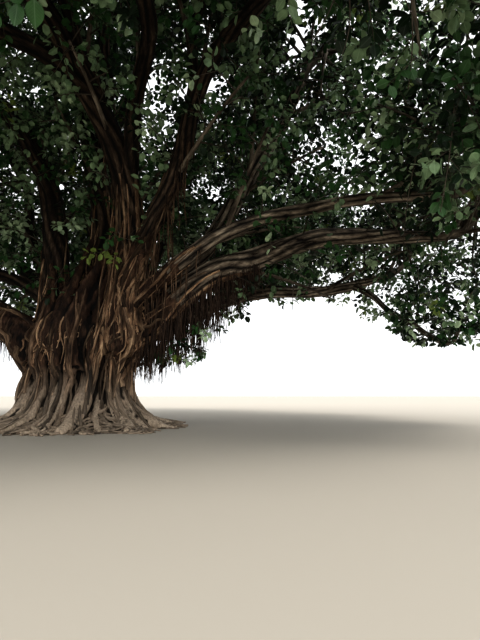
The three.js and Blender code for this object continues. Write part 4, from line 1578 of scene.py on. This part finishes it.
# a leaf lies along y from its stalk's foot, x is across and z is up: a blunt oval, folded along its rib
leafPoints = np.array([
    (0.0, -0.26, -0.03), (-0.025, 0.03, 0.0), (0.025, 0.03, 0.0), (0.0, 0.0, 0.0),
    (-0.43, 0.27, 0.07), (-0.39, 0.74, 0.03), (0.0, 1.0, -0.12), (0.39, 0.74, 0.03), (0.43, 0.27, 0.07),
])
leafFaces = np.array([(0, 2, 1), (3, 5, 4), (3, 6, 5), (3, 7, 6), (3, 8, 7)])
leafLook = {
    "count": 10,  # on each spray
    "along": (0.12, 0.9),  # share of the spray where they start, and over which they spread
    "jitter": 0.6,
    "length": (0.11, 0.178),
    "hungSize": (3.2, 0.85, 1.12),  # on hanging shoots: the factor under and over a height
    "width": 0.78,
    "widths": (0.9, 1.15),
    "stalk": 0.26,  # share of the length
    "side": 0.95,
    "onward": 0.5,
    "hang": (-0.75, 0.25),
    "tilt": 0.42,
    "skin": 1.06,  # share of a mass's ellipsoid
    "beforeLimbs": (0.5, 2),  # share that stays in front of shown limbs, and pixels beside them
    "fineWithin": 6.5,  # metres from the camera within which leaves in view are drawn finer
    "fineBeyond": (40, 60),  # pixels outside the picture
    "litSide": (1.5, 12, 0.48, 0.9),  # x and distance under which leaves get paler tints, painted light for the sky light from the left, and powers of chance
    "facesAtMost": 190000,
}
# share of the sprays far off and near the limbs, and the plain colour of each tint
leafTints = {
    # painted shade: the deep tint, near black, stands for leaves in the crown's deep shade
    "leaves_deep": (0.45, 0.32, (0.006, 0.02, 0.006)),
    "leaves_green": (0.25, 0.32, (0.03, 0.085, 0.024)),
    "leaves_dusty": (0.17, 0.27, (0.17, 0.26, 0.14)),
    # painted light: the pale tint stands for leaves in the light, and the yellow one for leaves lit through
    # from behind
    "leaves_pale": (0.115, 0.08, (0.36, 0.48, 0.3)),
    "leaves_yellow": (0.015, 0.01, (0.18, 0.25, 0.06)),
}
leafPaint = {
    "mottle": {"Scale": 9, "Detail": 3},
    "shades": [(0.3, 0.7), (0.7, 1.35)],  # value of the mottle, and its factor on the colour
    "rough": 0.46,
    "specular": 0.3,
    "rib": (0.045, 0.01),  # half its width where it fades out and where it is plain, in leaf widths
    "slant": -0.7,
    "veinGap": 0.065,
    "vein": (0.012, 0.0, 0.0, 0.55),
    "pale": (1.2, 0.035),  # factor on the colour and what is added
}


def fineLeaf(steps=7):
    # rows of three points, edge, rib and edge, at even steps along the leaf: half its width there is
    # 0.5 * sin(pi * y ** 0.85) ** 0.62, its rib sags to the tip and its edges rise and wave
    y = np.linspace(0.02, 0.97, steps)
    half = 0.5 * np.sin(math.pi * y**0.85) ** 0.62
    rib = -0.16 * y**2
    edge = rib + 0.07 + 0.02 * np.sin(9 * y)
    rows = [np.stack(row, -1) for row in ([-half, y, edge], [0 * y, y, rib], [half, y, edge])]
    rows = np.stack(rows, 1).reshape(-1, 3)
    points = np.concatenate([[(0.0, -0.26, -0.03)], rows, [(0.0, 1.02, -0.18)]])
    row = 1 + 3 * np.arange(steps - 1)[:, None]
    quads = np.concatenate([row + np.array([[0, 1, 4, 3]]), row + np.array([[1, 2, 5, 4]])])
    faces = np.concatenate([quads[:, [0, 1, 2]], quads[:, [0, 2, 3]]])
    last = len(points) - 1
    ends = np.array([(0, 3, 1), (last - 3, last - 2, last), (last - 2, last - 1, last), (1, 3, 2)])
    return points, np.concatenate([faces, ends])


def leafArrays(shape, base, along, face, length, width):
    # every leaf's points: base + along * y + across * x + face * z, each times its size
    places, triangles = shape
    across = unit(np.cross(along, face))
    face = np.cross(across, along)
    y = places[None, :, 1, None] * length[:, None, None] * along[:, None]
    x = places[None, :, 0, None] * width[:, None, None] * across[:, None]
    z = places[None, :, 2, None] * length[:, None, None] * face[:, None]
    points = (base[:, None] + x + y + z).reshape(-1, 3)
    faces = (triangles[None] + np.arange(len(base))[:, None, None] * len(places)).reshape(-1, 3)
    return points, faces, np.tile(places, (len(base), 1))


def makeLeafMaterial(look, name, colour, veined):
    # a mottle over the plain colour, and on near leaves a pale rib and side veins from the leaf's own places:
    # the rib where x is small, a vein where y - 0.7 * x comes round to a whole number of gaps
    material, tree, shader = makeMaterial(name)
    place = addNode(tree, "TexCoord").outputs["Object"]
    mottle = addNode(tree, "TexNoise", look["mottle"], {"Vector": place}).outputs["Fac"]
    paint = addRamp(tree, mottle, [(value, [c * factor for c in colour]) for value, factor in look["shades"]])
    shader.inputs["Roughness"].default_value = look["rough"]
    shader.inputs["Specular IOR Level"].default_value = look["specular"]
    if veined:
        own = addNode(tree, "Attribute", attribute_name="leafPlace").outputs["Vector"]
        axes = addNode(tree, "SeparateXYZ", sources={"Vector": own}).outputs
        aside = addMath(tree, "ABSOLUTE", {0: axes["X"]})
        rib = addMap(tree, aside, *look["rib"])
        slant = addMath(tree, "MULTIPLY_ADD", {0: aside, 2: axes["Y"]}, {1: look["slant"]})
        repeat = addMath(tree, "PINGPONG", {0: slant}, {1: look["veinGap"]})
        lines = addMath(tree, "MAXIMUM", {0: rib, 1: addMap(tree, repeat, *look["vein"])})
        factor, added = look["pale"]
        pale = (*[factor * c + added for c in colour], 1)
        mixed = addNode(tree, "Mix", {"B": pale}, {"Factor": lines, "A": paint}, data_type="RGBA")
        paint = mixed.outputs["Result"]
    tree.links.new(paint, shader.inputs["Base Color"])
    return material


def thinned(look, ends, kind, rng):
    # true for sprays that stay: out of the openings, but for some that hang, and not before shown limbs
    x, _, deep = inPicture(ends)
    near, far, right, rightShare, leftShare = look["overhead"]
    share = np.where(x > right, rightShare, leftShare)
    overhead = (kind == 2) & (deep > near) & (deep < far) & (rng.random(len(ends)) < share)
    keep = ~opened(ends, rng) | overhead
    return keep & ~beforeLimbs(ends, *look["beforeLimbs"], rng)


def growCrown(look, rng):
    # kind 0 are the sprays of the masses, 1 those along the limbs and side boughs, and 2 those that hang
    stems, branches = growBranches(look)
    ends = branches[0][:, 2]
    deep = inPicture(ends)[2]
    branches = chooseRows(branches, (deep < 0) | (deep > look["clearBefore"]) | ~opened(ends, rng))
    sides = shootsFrom(branches, sideLook, rng)
    sprays = shootsFrom(sides, sprayLook, rng)
    inner = innerShoots(innerLook, rng)
    boughs = innerShoots(sideBoughLook, rng)
    inner = joinRows(inner, shootsFrom(boughs, innerSideLook, rng, inCrown))
    innerSprays = shootsFrom(inner, innerSprayLook, rng, inCrown)
    hung = hangingShoots(hangLook, *branches[:2], rng)
    hungSprays = shootsFrom(hung, hangSprayLook, rng, inCrown)
    rooted = (*leafyRoots, np.full(len(leafyRoots[0]), look["leafyRoot"]))
    hungSprays = joinRows(hungSprays, shootsFrom(rooted, curtainSprayLook, rng, offGround))
    kind = np.repeat([0, 1, 2], [len(group[0]) for group in (sprays, innerSprays, hungSprays)])
    sprays = joinRows(sprays, innerSprays, hungSprays)
    keep = thinned(look, sprays[0][:, 2], kind, rng)
    sprays, kind = chooseRows(sprays, keep), kind[keep]

    filling = fillingBoughs(fillLook, sprays[0])
    offFilling = shootsFrom(filling, fillSideLook, rng, inCrown)
    last = shootsFrom(offFilling, innerSprayLook, rng, inCrown)
    last = chooseRows(last, ~opened(last[0][:, 2], rng))
    kind = np.concatenate([kind, np.ones(len(last[0]), int)])
    sprays, boughs, inner = joinRows(sprays, last), joinRows(boughs, filling), joinRows(inner, offFilling)
    sides = chooseRows(sides, ~opened(sides[0][:, 2], rng))

    twigs = (*sprays[:2], np.maximum(sprays[2], look["twigThick"]))
    pieces = {
        "branches": ("twigBark", {"stems": stems, "branches": branches}),
        "side_boughs": ("boughBark", {"boughs": boughs}),
        "side_branches": ("twigBark", {"sides": sides, "inner": inner, "hung": hung}),
        "twigs": ("twigBark", {"twigs": twigs}),
    }
    for name, (bark, groups) in pieces.items():
        twigPiece(name, [bentTubes(group, *look["tubes"][tube]) for tube, group in groups.items()], bark)
    print("sprays:", len(sprays[0]), "side branches:", len(sides[0]), "branches:", len(branches[0]))
    return sprays, kind


def placeLeaves(look, sprays, kind, rng):
    # leaves leave a spray alternately by the golden angle, hang a little and face up: for each its foot,
    # direction, facing, length, width and mass, and whether it fits into the crown
    controls, sprayOwners, _ = sprays
    count, number = look["count"], len(controls)
    first, spread = look["along"]
    t = first + spread * (np.arange(count)[None] + rng.uniform(0, look["jitter"], (number, count))) / count
    t = np.minimum(t, 1.0)
    base = bend(controls, t)
    course = courseOf(controls, t)
    side = aroundCourse(course, count, rng)
    hang = rng.uniform(*look["hang"], (number, count, 1))
    along = unit(side * look["side"] + course * look["onward"] + upward * hang)
    face = unit(upward + rng.normal(0, look["tilt"], (number, count, 3)))
    height, low, high = look["hungSize"]
    size = np.where(kind == 2, np.where(controls[:, 2, 2] < height, low, high), 1.0)
    length = rng.uniform(*look["length"], (number, count)) * size[:, None]
    base = (base + along * look["stalk"] * length[..., None]).reshape(-1, 3)
    along, face, length = along.reshape(-1, 3), face.reshape(-1, 3), length.ravel()
    width = length * look["width"] * rng.uniform(*look["widths"], len(length))
    owners = np.repeat(sprayOwners, count)
    tips = base + along * length[:, None]
    clear = ~beforeLimbs(tips, *look["beforeLimbs"], rng)
    top, fall, _ = crownLook["dome"]
    fits = within(owners, tips, look["skin"]) | (np.repeat(kind > 0, count) & offGround(owners, tips))
    fits &= clear & (tips[:, 2] < top - fall * (tips[:, 0] ** 2 + tips[:, 1] ** 2))
    return (base, along, face, length, width), owners, fits


def pickTints(look, ends, kind, close, rng):
    # for each spray a tint by chance, with shares for far and near ones; on the left near the view tints are
    # paler: painted light for the sky light from that side
    shares = np.cumsum([[far, near] for far, near, _ in leafTints.values()], axis=0)
    x, distance, paler, plain = look["litSide"]
    # painted light: sprays on the left near the view get paler tints
    paled = (ends[:, 0] < x) & (inPicture(ends)[2] < distance)
    chance = rng.random(len(ends)) ** np.where(paled, paler, plain)
    far, near = np.searchsorted(shares[:, 0], chance), np.searchsorted(shares[:, 1], chance)
    return np.minimum(np.where((kind > 0) | close, near, far), len(leafTints) - 1)


def makeLeaves(look, sprays, kind, rng):
    # for each tint its far leaves and its near ones, sorted by mass and cut into pieces of few enough faces
    leaves, owners, fits = placeLeaves(look, sprays, kind, rng)
    ends = sprays[0][:, 2]
    close = inView(ends, look["fineBeyond"], look["fineWithin"])
    pick = np.repeat(pickTints(look, ends, kind, close, rng), look["count"])
    close = np.repeat(close, look["count"])
    waiting, total = list(runs), 0
    for number, (tint, (_, _, colour)) in enumerate(leafTints.items()):
        for near, shape in ((False, (leafPoints, leafFaces)), (True, fineLeaf())):
            material = makeLeafMaterial(leafPaint, tint + ("_near" if near else ""), colour, near)
            chosen = np.flatnonzero(fits & (pick == number) & (close == near))
            chosen = chosen[np.argsort(owners[chosen], kind="stable")]
            perPiece = look["facesAtMost"] // len(shape[1])
            for part, start in enumerate(range(0, len(chosen), perPiece)):
                some = chosen[start:start + perPiece]
                points, faces, places = leafArrays(shape, *chooseRows(leaves, some))
                title = f"{tint}_{'near' if near else 'far'}_{part + 1}"
                own = {"leafPlace": places} if near else None
                piece = makePiece(title, points, [faces], own, smooth=near)
                here = [name for name in waiting if not near and runs[name]["index"] in owners[some]]
                waiting = [name for name in waiting if name not in here]
                finishPiece(piece, material, ["leaves_" + name for name in here])
                total += len(some)
                print(title, len(some), "leaves,", len(faces), "faces")
    print("leaves:", total)


crownRandom = np.random.default_rng(77)
makeLeaves(leafLook, *growCrown(crownLook, crownRandom), crownRandom)
print("crown grown")
